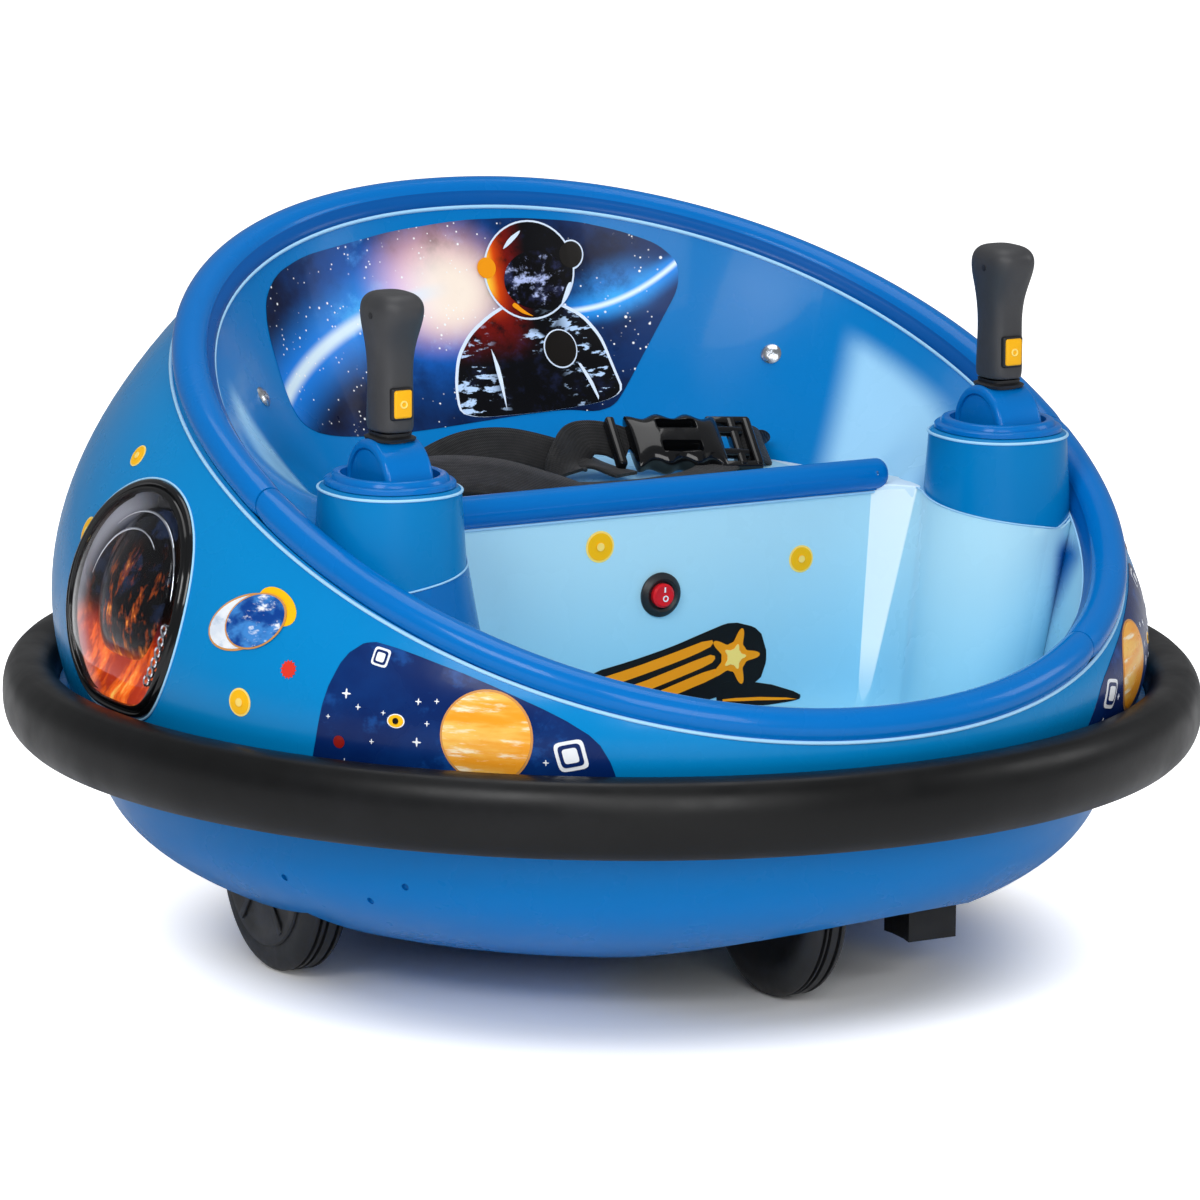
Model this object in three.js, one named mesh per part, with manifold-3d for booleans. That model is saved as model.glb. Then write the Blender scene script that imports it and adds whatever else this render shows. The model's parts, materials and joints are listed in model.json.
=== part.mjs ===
// Child's battery bumper car: a round tub with a rubber ring, two drive wheels, two casters and two
// joysticks. Millimetres, +Z up, the floor at z = 0, the front of the car towards -Y.
import * as THREE from 'three';
import { ParametricGeometry } from 'three/addons/geometries/ParametricGeometry.js';
import { mergeVertices } from 'three/addons/utils/BufferGeometryUtils.js';
import Module from 'manifold-3d';

const wasm = await Module();
wasm.setup();

// ---- driving dimensions ---------------------------------------------------------------------
const gap = 0.4; // between pieces that touch
const slack = 1.2; // round a piece that turns

// bumper ring
const ringHalfWidth = 345; // centre line to the side
const ringHalfLong = 355; // centre line to the front and to the rear
const ringThick = 17; // half the section, across
const ringTall = 23.5; // half the section, up and down
const ringZ = 143;

// lower hull, a bowl under the ring
const hullInset = 39; // from the ring's centre line to the bowl's widest edge
const hullTopZ = 118;
const hullBottomZ = 18;
const hullDepth = 108; // depth of the full bowl, which the flat bottom cuts short
const hullCore = 62;
const hullPower = 2.52;
const hullWall = 4;
const flangeZ = 141;
const flangeThick = 6;

// upper body, from the ring to the rim roll
const bodyGap = 6; // between ring and body
const bodyWall = 4;
const bodyBulge = 0.2; // how far the side bows out, for each millimetre of its height
const bodyBulgeTall = 180; // a taller side bows out more than its share, a lower one less
const bodySteps = 6;

// rim roll, a tilted oval
const rimSideInset = 75; // how far inside the ring's centre line the roll lies
const rimFrontInset = 18;
const rimRearInset = 137;
const rimCentreY = -51;
const rimHalfWidth = ringHalfWidth - rimSideInset;
const rimFront = ringHalfLong - rimFrontInset + rimCentreY;
const rimRear = ringHalfLong - rimRearInset - rimCentreY;
const rimZ = 306.1; // height at the rim's centre
const rimRise = 0.4175; // height gained for each millimetre to the rear
const rimSquare = 2.083; // 2 is an ellipse
const rollRadius = 10.5;
const rollLip = 15; // how far the lip reaches in from the roll's centre
const rollLipDrop = 7;
const seamRear = -6; // degrees round the rim, from the right side towards the rear
const seamFront = -56;

// liner, seat and footwell
const linerWall = 4;
const linerHollow = 10; // how far the backrest bows out
const seatTopZ = 264;
const seatThick = 12;
const seatFrontY = -70;
const seatRearY = 123;
const wellHalfWidth = 168;
const wellCorner = 20;
const deckFrontY = -155;
const deckRearZ = 270;
const deckFrontZ = 257;
const deckDegrees = 26; // how far forward of the rim's middle the decks reach
const wingDegrees = 34; // where the side wings meet the backrest
const floorZ = 125;
const floorClear = 2.72; // from the floor's front edge to the hull
const wellCentreY = (seatFrontY + rimCentreY - rimFront) / 2;
const floorScale = (ringHalfLong - hullInset - hullWall - floorClear + wellCentreY)
  / (wellCentreY - (rimCentreY - rimFront + rollLip - 0.5) + linerWall);
const floorFillet = 10;
const wellRimDegrees = 38; // where the footwell's edge joins the rim
const bolsterRadius = 9.5;
const bolsterHalf = 158;

// consoles and joysticks
const consoleInset = 62; // from the roll's side to the console's middle
const consoleX = rimHalfWidth - consoleInset;
const consoleY = -117;
const consoleZ = 305;
const consoleHalfX = 39.5;
const consoleHalfY = 42;
const consoleFlare = 4;
const consoleWall = 4;
const bezelTall = 7.5;
const bezelInset = 3;
const bezelStep = 3;
const rockerRadius = 27;
const rockerHalf = 15.5;
const rockerZ = 305.5;
const neckRise = 4; // of the neck above the rocker
const gripTall = 81.5;
const gripHalfX = 12;
const gripHalfY = 14.5;

// wheels
const wheelRadius = 62.5;
const wheelWide = 28;
const driveInset = 116; // from the ring's centre line to the wheel's middle
const driveX = ringHalfWidth - driveInset;
const driveY = -25;
const axleRadius = 6;
const casterWide = 26;
const casterTrail = 22;
const casterInset = 165; // from the ring's centre line to a caster's swivel axis
const casterFrontY = -(ringHalfLong - casterInset);
const casterRearY = ringHalfLong - casterInset;
const cupClear = 5; // from the swivelling wheel to its cup
const cupWall = 3;
const cupCeilingZ = 138;
const frontOpeningX = 20; // the front caster's opening reaches further to the right
const frontOpeningHalf = 112;
const openingTopZ = 88;
const gearboxX = 112; // the gearboxes' inner ends
const gearboxHalfY = 26;
const gearboxRise = 28; // above the wheel's axle
const batteryHalfX = 75;
const batteryFrontY = -20;
const batteryClear = 22.5; // to the rear caster's cup
const batteryTall = 95;
const bracketWide = 34;
const bracketDeep = 32;
const bracketLowZ = 20;
const bracketTopZ = 66;

// lights on both sides
const lightY = 5;
const lightZ = 222;
const lightHalfY = 70;
const lightHalfZ = 71;
const lightTilt = 12; // degrees that its face looks up
const lightRim = 6; // width of the frame that covers the body's edge
const lightFrameWall = 3;
const lightTubeDeep = 14; // how far the frame reaches into the body
const lightBowlBack = 13; // from the body's skin to the reflector's rim
const lightBowlDeep = 30;

// screw caps on the backrest
const screwDegrees = 41;
const screwShare = 0.41;
const screwRadius = 6.5;
const screwTall = 3;

// harness
const strapWide = 25;
const strapThick = 3;
const buckleX = 92;
const buckleY = 84;
const buckleHalfX = 30;
const buckleHalfY = 17;
const buckleTall = 17;

// power switch on the seat's front
const switchZ = 213;
const switchRadius = 13.5;

// ---- helpers --------------------------------------------------------------------------------
const deg = THREE.MathUtils.degToRad;
const at = (x, y, z) => new THREE.Vector3(x, y, z);

function solid(geometry) {
  const bare = geometry.index ? geometry.toNonIndexed() : geometry.clone();
  bare.deleteAttribute('normal');
  bare.deleteAttribute('uv');
  const merged = mergeVertices(bare, 1e-3);
  const index = merged.index.array;
  const kept = [];
  for (let i = 0; i < index.length; i += 3) {
    const [a, b, c] = [index[i], index[i + 1], index[i + 2]];
    if (a !== b && b !== c && a !== c) kept.push(a, b, c);
  }
  const build = (triVerts) =>
    new wasm.Manifold(
      new wasm.Mesh({
        numProp: 3,
        vertProperties: Float32Array.from(merged.attributes.position.array),
        triVerts: Uint32Array.from(triVerts),
      }),
    );
  const made = build(kept);
  if (made.volume() > 0) return made;
  const turned = [];
  for (let i = 0; i < kept.length; i += 3) turned.push(kept[i], kept[i + 2], kept[i + 1]);
  return build(turned);
}

// the largest body of a cut piece
function largest(shape) {
  return shape.decompose().reduce((best, body) => (body.volume() > best.volume() ? body : best));
}

function geometryOf(shape) {
  if (shape.isBufferGeometry) return shape;
  const mesh = shape.simplify(0.02).getMesh();
  const geometry = new THREE.BufferGeometry();
  geometry.setAttribute('position', new THREE.BufferAttribute(mesh.vertProperties, 3));
  geometry.setIndex(new THREE.BufferAttribute(mesh.triVerts, 1));
  geometry.computeVertexNormals();
  return geometry;
}

function piece(parent, name, shape, material) {
  const mesh = new THREE.Mesh(geometryOf(shape), material.clone());
  mesh.name = name;
  parent.add(mesh);
  return mesh;
}

// a surface whose rows are the closed outlines (or axis-to-axis outlines) that rowAt returns
function sweep(rowAt, around) {
  const rows = [];
  for (let i = 0; i <= around; i += 1) rows.push(rowAt((i % around) / around));
  const across = rows[0].length - 1;
  const point = (u, v, target) => target.copy(rows[Math.round(u * around)][Math.round(v * across)]);
  return solid(new ParametricGeometry(point, around, across));
}

// the same for an open run: its two ends are closed by fans
function capped(rowAt, steps) {
  const middle = (row) => {
    const sum = at(0, 0, 0);
    row.slice(1).forEach((point) => sum.add(point));
    return row.map(() => sum.clone().divideScalar(row.length - 1));
  };
  const rows = [middle(rowAt(0))];
  for (let i = 0; i <= steps; i += 1) rows.push(rowAt(i / steps));
  rows.push(middle(rowAt(1)));
  const last = rows.length - 1;
  const across = rows[0].length - 1;
  const point = (u, v, target) => target.copy(rows[Math.round(u * last)][Math.round(v * across)]);
  return solid(new ParametricGeometry(point, last, across));
}

const closed = (points) => [...points, points[0]];

function box(x0, x1, y0, y1, z0, z1) {
  const shape = new THREE.BoxGeometry(x1 - x0, y1 - y0, z1 - z0);
  shape.translate((x0 + x1) / 2, (y0 + y1) / 2, (z0 + z1) / 2);
  return solid(shape);
}

// an upright disc or rod along Z, oval when the two radii differ
function oval(x, y, z0, z1, radiusX, radiusY = radiusX, sides = 40, flare = 0) {
  const shape = new THREE.CylinderGeometry(1, 1 + flare / radiusX, z1 - z0, sides);
  shape.rotateX(Math.PI / 2);
  shape.scale(radiusX, radiusY, 1);
  shape.translate(x, y, (z0 + z1) / 2);
  return solid(shape);
}

// a solid of revolution about X; the profile lists (distance along X, radius)
function turnedX(profile, sides = 32) {
  const shape = new THREE.LatheGeometry(profile.map(([x, r]) => new THREE.Vector2(r, x)), sides);
  shape.rotateZ(-Math.PI / 2);
  return solid(shape);
}

const turnedZ = (profile, sides = 40) => {
  const shape = new THREE.LatheGeometry(profile.map(([r, z]) => new THREE.Vector2(r, z)), sides);
  shape.rotateX(Math.PI / 2);
  return solid(shape);
};

// a flat outline in the X-Z plane, made thick along Y
function slabY(outline, y0, y1) {
  const shape = new THREE.Shape(outline.map(([x, z]) => new THREE.Vector2(x, z)));
  const made = new THREE.ExtrudeGeometry(shape, { depth: y1 - y0, bevelEnabled: false });
  made.rotateX(Math.PI / 2);
  made.translate(0, y1, 0);
  return solid(made);
}

// a wedge seen from above, between two directions round the rim's centre
function wedge(from, to, shrink) {
  const reach = 900;
  const outline = new THREE.Shape();
  const mid = deg((from + to) / 2);
  outline.moveTo(Math.cos(mid) * shrink, Math.sin(mid) * shrink);
  const steps = 8;
  for (let i = 0; i <= steps; i += 1) {
    const angle = deg(from + ((to - from) * i) / steps);
    outline.lineTo(Math.cos(angle) * reach + Math.cos(mid) * shrink,
      Math.sin(angle) * reach + Math.sin(mid) * shrink);
  }
  const made = new THREE.ExtrudeGeometry(outline, { depth: 700, bevelEnabled: false });
  made.translate(0, rimCentreY, -100);
  return solid(made);
}

// ---- curves that the shells follow ----------------------------------------------------------
const signedPower = (value, power) => Math.sign(value) * Math.abs(value) ** power;

// the ring's centre line, moved in by inset
function ringPoint(angle, inset, z) {
  return at((ringHalfWidth - inset) * Math.cos(angle), (ringHalfLong - inset) * Math.sin(angle), z);
}

// the rim roll's centre line, moved out by out and up by up
function rimPoint(angle, out = 0, up = 0) {
  const reach = Math.sin(angle) < 0 ? rimFront : rimRear;
  const x = (rimHalfWidth + out) * signedPower(Math.cos(angle), 2 / rimSquare);
  const y = signedPower(Math.sin(angle), 2 / rimSquare);
  return at(x, rimCentreY + (reach + out) * y, rimZ + rimRise * reach * y + up);
}

const outwards = (angle) => at(Math.cos(angle), Math.sin(angle), 0);

// a point of the body's outer skin; share runs from the ring (0) to the rim (1)
function bodyPoint(angle, share, out = 0) {
  const low = ringPoint(angle, ringThick + bodyGap, flangeZ + flangeThick + gap);
  const side = rollRadius * 0.74 + out;
  const under = Math.sqrt(Math.max(0, (rollRadius + gap) ** 2 - side ** 2));
  const high = rimPoint(angle, side - out, -under);
  const tall = high.z - low.z;
  const bulge = bodyBulge * tall * (tall / bodyBulgeTall) ** 0.3 * 4 * share * (1 - share);
  return low.lerp(high, share).addScaledVector(outwards(angle), bulge + out);
}

// ---- shells ---------------------------------------------------------------------------------
const around = 60;

function bumperRing() {
  const sides = 12;
  return sweep((u) => {
    const angle = u * 2 * Math.PI;
    const section = [];
    for (let i = 0; i < sides; i += 1) {
      const turn = (i / sides) * 2 * Math.PI;
      const across = signedPower(Math.cos(turn), 0.85) * ringThick;
      section.push(ringPoint(angle, -across, ringZ + signedPower(Math.sin(turn), 0.85) * ringTall));
    }
    return closed(section);
  }, around);
}

// height 0 is the widest edge of the bowl, 1 the bottom of the full bowl
const hullShrink = (share) => (1 - share ** hullPower) ** 0.5;

function hullPoint(angle, share, wall) {
  const edge = ringPoint(angle, hullInset + wall, 0);
  const core = at(Math.cos(angle), Math.sin(angle), 0).multiplyScalar(hullCore);
  const shrunk = core.lerp(edge, hullShrink(share));
  return shrunk.setZ(hullTopZ - hullDepth * share + wall * share);
}

const hullSteps = 7;
const hullFlat = (hullTopZ - hullBottomZ) / hullDepth;

function hullBowl() {
  const steps = hullSteps;
  return sweep((u) => {
    const angle = u * 2 * Math.PI;
    const row = [at(0, 0, hullBottomZ)];
    for (let i = steps; i >= 0; i -= 1) row.push(hullPoint(angle, (hullFlat * i) / steps, 0));
    row.push(ringPoint(angle, hullInset - 6, flangeZ));
    row.push(ringPoint(angle, ringThick + gap, flangeZ));
    row.push(ringPoint(angle, ringThick + gap, flangeZ + flangeThick));
    row.push(ringPoint(angle, hullInset + hullWall - 6, flangeZ + flangeThick));
    for (let i = 0; i <= steps; i += 1) {
      row.push(hullPoint(angle, (hullFlat * i) / steps, hullWall));
    }
    row.push(at(0, 0, hullBottomZ + hullWall));
    return row;
  }, around);
}

// the room inside the hull, for trimming what stands in it
function hullRoom() {
  const steps = hullSteps;
  return sweep((u) => {
    const angle = u * 2 * Math.PI;
    const row = [at(0, 0, hullBottomZ + hullWall + gap)];
    for (let i = steps; i >= 0; i -= 1) {
      row.push(hullPoint(angle, (hullFlat * i) / steps, hullWall + gap));
    }
    row.push(ringPoint(angle, hullInset + hullWall + gap, 400));
    row.push(at(0, 0, 400));
    return row;
  }, around);
}

function bodyBand(outerOut, innerOut, steps = bodySteps) {
  return sweep((u) => {
    const angle = u * 2 * Math.PI;
    const row = [];
    for (let i = 0; i <= steps; i += 1) row.push(bodyPoint(angle, i / steps, outerOut));
    for (let i = steps; i >= 0; i -= 1) row.push(bodyPoint(angle, i / steps, innerOut));
    return closed(row);
  }, around);
}

const roundRim = (section, count) =>
  sweep((u) => closed(section.map(([out, up]) => rimPoint(u * 2 * Math.PI, out, up))), count);

function rollArc(from, to, steps, radius) {
  const arc = [];
  for (let i = 0; i <= steps; i += 1) {
    const turn = deg(THREE.MathUtils.lerp(from, to, i / steps));
    arc.push([Math.cos(turn) * radius, Math.sin(turn) * radius]);
  }
  return arc;
}

const rimRoll = () => roundRim([...rollArc(-75, 160, 8, rollRadius), [-rollLip + 1, -rollLipDrop + 6],
  [-rollLip, -rollLipDrop + 2], [-rollLip + 1, -rollLipDrop], [-rollLip + 9, -rollLipDrop]], 72);

// all that lies under the roll and outside it, with a gap
const rollGuard = () => roundRim([[60, -90], [60, rollRadius + gap],
  ...rollArc(90, 160, 3, rollRadius + gap), [-rollLip + 1 - gap, -rollLipDrop + 6 + gap],
  [-rollLip - gap, -rollLipDrop + 2], [-rollLip - gap, -90]], 72);

// where the liner's skin starts under the roll's lip
const lipUnder = -rollLipDrop - gap - 0.2;
const linerTop = (angle) => rimPoint(angle, -rollLip + 0.5, lipUnder);

function deckZ(y) {
  const share = THREE.MathUtils.clamp((seatFrontY - y) / (seatFrontY - deckFrontY), 0, 1);
  return THREE.MathUtils.lerp(deckRearZ, deckFrontZ, share);
}

// the footwell's edge between the decks and the rim, on the right
function wellFlare() {
  const end = linerTop(deg(-wellRimDegrees));
  return new THREE.QuadraticBezierCurve3(at(wellHalfWidth, deckFrontY, deckFrontZ),
    at(wellHalfWidth + 4, end.y + 8, end.z + 8), end);
}

// where it ends: round the seat behind, along the decks in front
function linerFoot(angle, inset) {
  const turn = THREE.MathUtils.euclideanModulo(THREE.MathUtils.radToDeg(angle) + 180, 360) - 180;
  const side = Math.cos(angle) < 0 ? -1 : 1;
  const half = wellHalfWidth + linerWall + gap - inset;
  if (turn >= 0) {
    const x = half * signedPower(Math.cos(angle), 0.55);
    const y = seatFrontY + (seatRearY - seatFrontY - inset) * Math.sin(angle) ** 0.8;
    return at(x, y, THREE.MathUtils.lerp(deckRearZ, seatTopZ - seatThick, Math.min(1, turn < 90
      ? turn / 12 : (180 - turn) / 12)));
  }
  const forward = turn > -90 ? -turn : 180 + turn;
  if (forward <= deckDegrees) {
    const y = THREE.MathUtils.lerp(seatFrontY, deckFrontY, forward / deckDegrees);
    return at(side * half, y, deckZ(y));
  }
  const share = Math.min(1, (forward - deckDegrees) / (wellRimDegrees - deckDegrees));
  const point = wellFlare().getPoint(share);
  const along = wellFlare().getTangent(share);
  const back = at(-along.y, along.x, 0).normalize().multiplyScalar(linerWall + gap);
  if (back.y < 0) back.negate();
  point.add(back);
  return point.setX(point.x * side);
}

// a point of the liner's skin, from the roll's lip (share 0) to its foot (1), lifted off it by lift
function linerSkin(angle, share, lift) {
  const top = linerTop(angle);
  const foot = linerFoot(angle, 0);
  const run = top.clone().sub(foot);
  const level = Math.hypot(run.x, run.y);
  const away = at((run.x / level) * run.z, (run.y / level) * run.z, -level).normalize();
  const hollow = linerHollow * Math.max(0, Math.sin(angle)) * 4 * share * (1 - share);
  return { point: top.lerp(foot, share).addScaledVector(away, hollow - lift), away };
}

// raise lifts the skin, drop sets its underside, reach carries it on past its foot
function linerBand(raise, drop, reach = 1) {
  const steps = 5;
  return sweep((u) => {
    const angle = u * 2 * Math.PI;
    const row = [];
    for (let i = 0; i <= steps; i += 1) row.push(linerSkin(angle, (reach * i) / steps, raise).point);
    for (let i = steps; i >= 0; i -= 1) row.push(linerSkin(angle, (reach * i) / steps, -drop).point);
    return closed(row);
  }, 72);
}

// ---- footwell -------------------------------------------------------------------------------
// the right half of the footwell's upper edge, from the seat's middle to the front
function wellEdge() {
  const edge = [];
  const inner = wellHalfWidth - wellCorner;
  const run = (from, to, steps) => {
    for (let i = 0; i < steps; i += 1) edge.push(from.clone().lerp(to, i / steps));
  };
  const corner = at(wellHalfWidth, seatFrontY - wellCorner, deckZ(seatFrontY - wellCorner));
  run(at(0, seatFrontY, seatTopZ), at(inner, seatFrontY, seatTopZ), 6);
  run(at(inner, seatFrontY, seatTopZ), corner, 2);
  run(corner, at(wellHalfWidth, deckFrontY, deckFrontZ), 5);
  for (let i = 0; i < 5; i += 1) edge.push(wellFlare().getPoint(i / 5));
  const steps = 13;
  for (let i = 0; i <= steps; i += 1) {
    edge.push(linerTop(THREE.MathUtils.lerp(deg(-wellRimDegrees), -Math.PI / 2, i / steps)));
  }
  return edge;
}

function footwellTub(wall) {
  const half = wellEdge();
  const other = half.slice(1, -1).reverse().map((point) => at(-point.x, point.y, point.z));
  const edge = [...half, ...other];
  const centre = at(0, wellCentreY, 0);
  const count = edge.length;
  const low = (point, shrink) => {
    const moved = point.clone().sub(centre).multiplyScalar(shrink).add(centre);
    return point.y > seatFrontY - 1 ? moved.setY(point.y) : moved;
  };
  return sweep((u) => {
    const i = Math.round(u * count) % count;
    const point = edge[i];
    const along = edge[(i + 1) % count].clone().sub(edge[(i + count - 1) % count]);
    const normal = at(-along.y, along.x, 0).normalize();
    if (normal.dot(point.clone().sub(centre)) < 0) normal.negate();
    const wide = point.clone().addScaledVector(normal, wall);
    const lowIn = low(point, floorScale);
    return [
      at(centre.x, centre.y, floorZ - linerWall),
      low(wide, floorScale).setZ(floorZ - linerWall),
      wide,
      point,
      lowIn.clone().setZ(floorZ + floorFillet),
      low(point, floorScale * 0.94).lerp(lowIn, point.y > seatFrontY - 1 ? 0.5 : 0).setZ(floorZ),
      at(centre.x, centre.y, floorZ),
    ];
  }, count);
}

// ---- build ----------------------------------------------------------------------------------
const paint = (color, roughness, metalness = 0) =>
  new THREE.MeshStandardMaterial({ color, roughness, metalness });
const rubber = paint(0x1b1c1e, 0.75);
const blue = paint(0x1583d0, 0.3);
const royal = paint(0x0b5fc4, 0.3);
const pale = paint(0x9fcdf2, 0.3);
const blackPlastic = paint(0x141416, 0.5);
const greyPlastic = paint(0x5a5d62, 0.55);
const yellow = paint(0xf6b21b, 0.4);
const red = paint(0xd81f26, 0.35);
const steel = paint(0xb9bec4, 0.3, 1);
const clear = paint(0xd8dde2, 0.05);
const mirror = paint(0x9a6a4a, 0.2, 0.8);
const webbing = paint(0x101113, 0.9);

const group = new THREE.Group();
const sides = [['left', -1], ['right', 1]];
const cupRadius = casterTrail + wheelRadius + cupClear;
const rimWhole = rimRoll();
const cupTopZ = cupCeilingZ + 6;

piece(group, 'bumper_ring', bumperRing(), rubber);

// hull with its wheel slots and caster openings
let hull = hullBowl();
for (const [, sign] of sides) {
  const inner = driveX - wheelWide / 2 - 6;
  const outer = driveX + wheelWide / 2 + 6;
  const span = [sign * inner, sign * outer].sort((a, b) => a - b);
  hull = hull.subtract(box(...span, driveY - wheelRadius - 6, driveY + wheelRadius + 6, 0, 90));
}
const cupOuter = cupRadius + cupWall;
hull = hull.subtract(oval(frontOpeningX, casterFrontY, 0, openingTopZ, frontOpeningHalf, cupOuter + gap));
hull = hull.subtract(oval(0, casterRearY, 0, openingTopZ, cupOuter + gap));
piece(group, 'lower_hull', hull, blue);

// lights: frame, then the cuts and pieces in it
function lightFrame(sign) {
  const angle = Math.asin(lightY / (ringHalfLong - ringThick));
  const turn = sign > 0 ? angle : Math.PI - angle;
  const frame = new THREE.Object3D();
  frame.position.set(bodyPoint(turn, 0.45).x, lightY, lightZ);
  frame.rotation.set(0, Math.PI / 2 - deg(lightTilt), turn, 'ZYX');
  frame.updateMatrix();
  return frame.matrix;
}

const lightOval = (matrix, grow, from, to) => {
  const shape = new THREE.CylinderGeometry(1, 1, to - from, 30);
  shape.rotateX(Math.PI / 2);
  shape.scale(lightHalfZ + grow, lightHalfY + grow, 1);
  shape.translate(0, 0, (from + to) / 2);
  shape.applyMatrix4(matrix);
  return solid(shape);
};

let body = bodyBand(0, -bodyWall);
const bezelSkin = bodyBand(3, gap);
const lensSkin = bodyBand(6, 3.2);
const aboveRing = ringZ + ringTall + 1;
const keepAbove = box(-500, 500, -500, 500, aboveRing, 500);
for (const [side, sign] of sides) {
  const matrix = lightFrame(sign);
  body = body.subtract(lightOval(matrix, -lightRim, -60, 60));
  const flange = bezelSkin.intersect(lightOval(matrix, 0, -60, 60));
  const tube = lightOval(matrix, -lightRim - gap, -lightTubeDeep, 0);
  const cut = lightOval(matrix, -lightRim - lightFrameWall, -60, 60);
  piece(group, `light_bezel_${side}`, flange.add(tube).subtract(cut).intersect(keepAbove),
    blackPlastic);
  const inside = lightOval(matrix, -lightRim - lightFrameWall - gap, -60, 60);
  piece(group, `light_lens_${side}`, lensSkin.intersect(inside).intersect(keepAbove), clear);
  const bowl = new THREE.SphereGeometry(1, 24, 10);
  bowl.rotateX(Math.PI / 2);
  const bowlInset = lightRim + lightFrameWall + 0.5;
  bowl.scale(lightHalfZ - bowlInset, lightHalfY - bowlInset, lightBowlDeep);
  const hollow = bowl.clone().scale(0.94, 0.94, 0.92);
  for (const shape of [bowl, hollow]) {
    shape.translate(0, 0, -lightBowlBack);
    shape.applyMatrix4(matrix);
  }
  const back = lightOval(matrix, 20, -60, -lightBowlBack);
  piece(group, `light_reflector_${side}`, solid(bowl).subtract(solid(hollow)).intersect(back)
    .intersect(keepAbove), mirror);
}
piece(group, 'upper_body', body, blue);

// rim roll in three lengths
piece(group, 'rim_roll_rear', rimWhole.intersect(wedge(seamRear, 180 - seamRear, gap / 2)), royal);
const frontCut = wedge(seamRear, 180 - seamRear, -gap / 2);
const rimFrontWhole = rimWhole.subtract(frontCut);
const sideCut = wedge(seamFront, seamRear, -gap / 2);
piece(group, 'rim_roll_front', rimFrontWhole.subtract(sideCut), royal);
piece(group, 'rim_roll_side', rimFrontWhole.intersect(wedge(seamFront, seamRear + 20, gap / 2)), royal);

// liner: backrest and two wings
const liner = linerBand(0, linerWall);
const wingEnd = wellRimDegrees - 4;
const tubCutter = footwellTub(linerWall + gap);
piece(group, 'backrest_shell', liner.intersect(wedge(wingDegrees, 180 - wingDegrees, gap)), blue);
for (const [side, sign] of sides) {
  const from = sign > 0 ? -wingEnd : 180 - wingDegrees;
  const to = sign > 0 ? wingDegrees : 180 + wingEnd;
  piece(group, `side_wing_${side}`, largest(liner.intersect(wedge(from, to, gap))
    .subtract(tubCutter).subtract(tubCutter.translate([0, 0, gap]))), pale);
}

// screw caps on the backrest
for (const [side, sign] of sides) {
  const angle = sign > 0 ? deg(screwDegrees) : Math.PI - deg(screwDegrees);
  const skin = linerSkin(angle, screwShare, gap + 0.2);
  const cap = new THREE.CylinderGeometry(screwRadius - 1.5, screwRadius, screwTall, 20);
  cap.translate(0, screwTall / 2, 0);
  cap.applyQuaternion(new THREE.Quaternion().setFromUnitVectors(at(0, 1, 0), skin.away.negate()));
  cap.translate(...skin.point.toArray());
  piece(group, `screw_cap_${side}`, solid(cap).subtract(linerBand(gap, linerWall)), steel);
}

// seat pan, inside the liner's foot
function seatPan() {
  const outline = new THREE.Shape();
  const inset = linerWall * 0.5 + 3;
  const steps = 26;
  for (let i = 0; i <= steps; i += 1) {
    const foot = linerFoot(Math.PI * (i / steps), inset);
    const y = Math.max(foot.y, seatFrontY + linerWall + gap);
    if (i === 0) outline.moveTo(foot.x, y);
    else outline.lineTo(foot.x, y);
  }
  const made = new THREE.ExtrudeGeometry(outline, { depth: seatThick, bevelEnabled: false });
  made.translate(0, 0, seatTopZ - seatThick);
  return solid(made);
}
piece(group, 'seat_pan', seatPan().subtract(linerBand(gap, linerWall + gap)), pale);

// footwell with the hump over the front caster
const hump = oval(0, casterFrontY, floorZ - linerWall, cupTopZ + gap + linerWall,
  cupRadius + cupWall + gap + linerWall, undefined, 48, 0);
const humpRoom = oval(0, casterFrontY, 0, cupTopZ + gap, cupRadius + cupWall + gap, undefined, 48);
const tub = footwellTub(linerWall).add(hump).subtract(humpRoom);
piece(group, 'footwell_tub', tub, pale);

const bolster = new THREE.CapsuleGeometry(bolsterRadius, 2 * (bolsterHalf - bolsterRadius), 5, 14);
bolster.rotateZ(Math.PI / 2);
bolster.translate(0, seatFrontY + linerWall / 2, seatTopZ + bolsterRadius + gap);
piece(group, 'seat_bolster', solid(bolster), royal);

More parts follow.
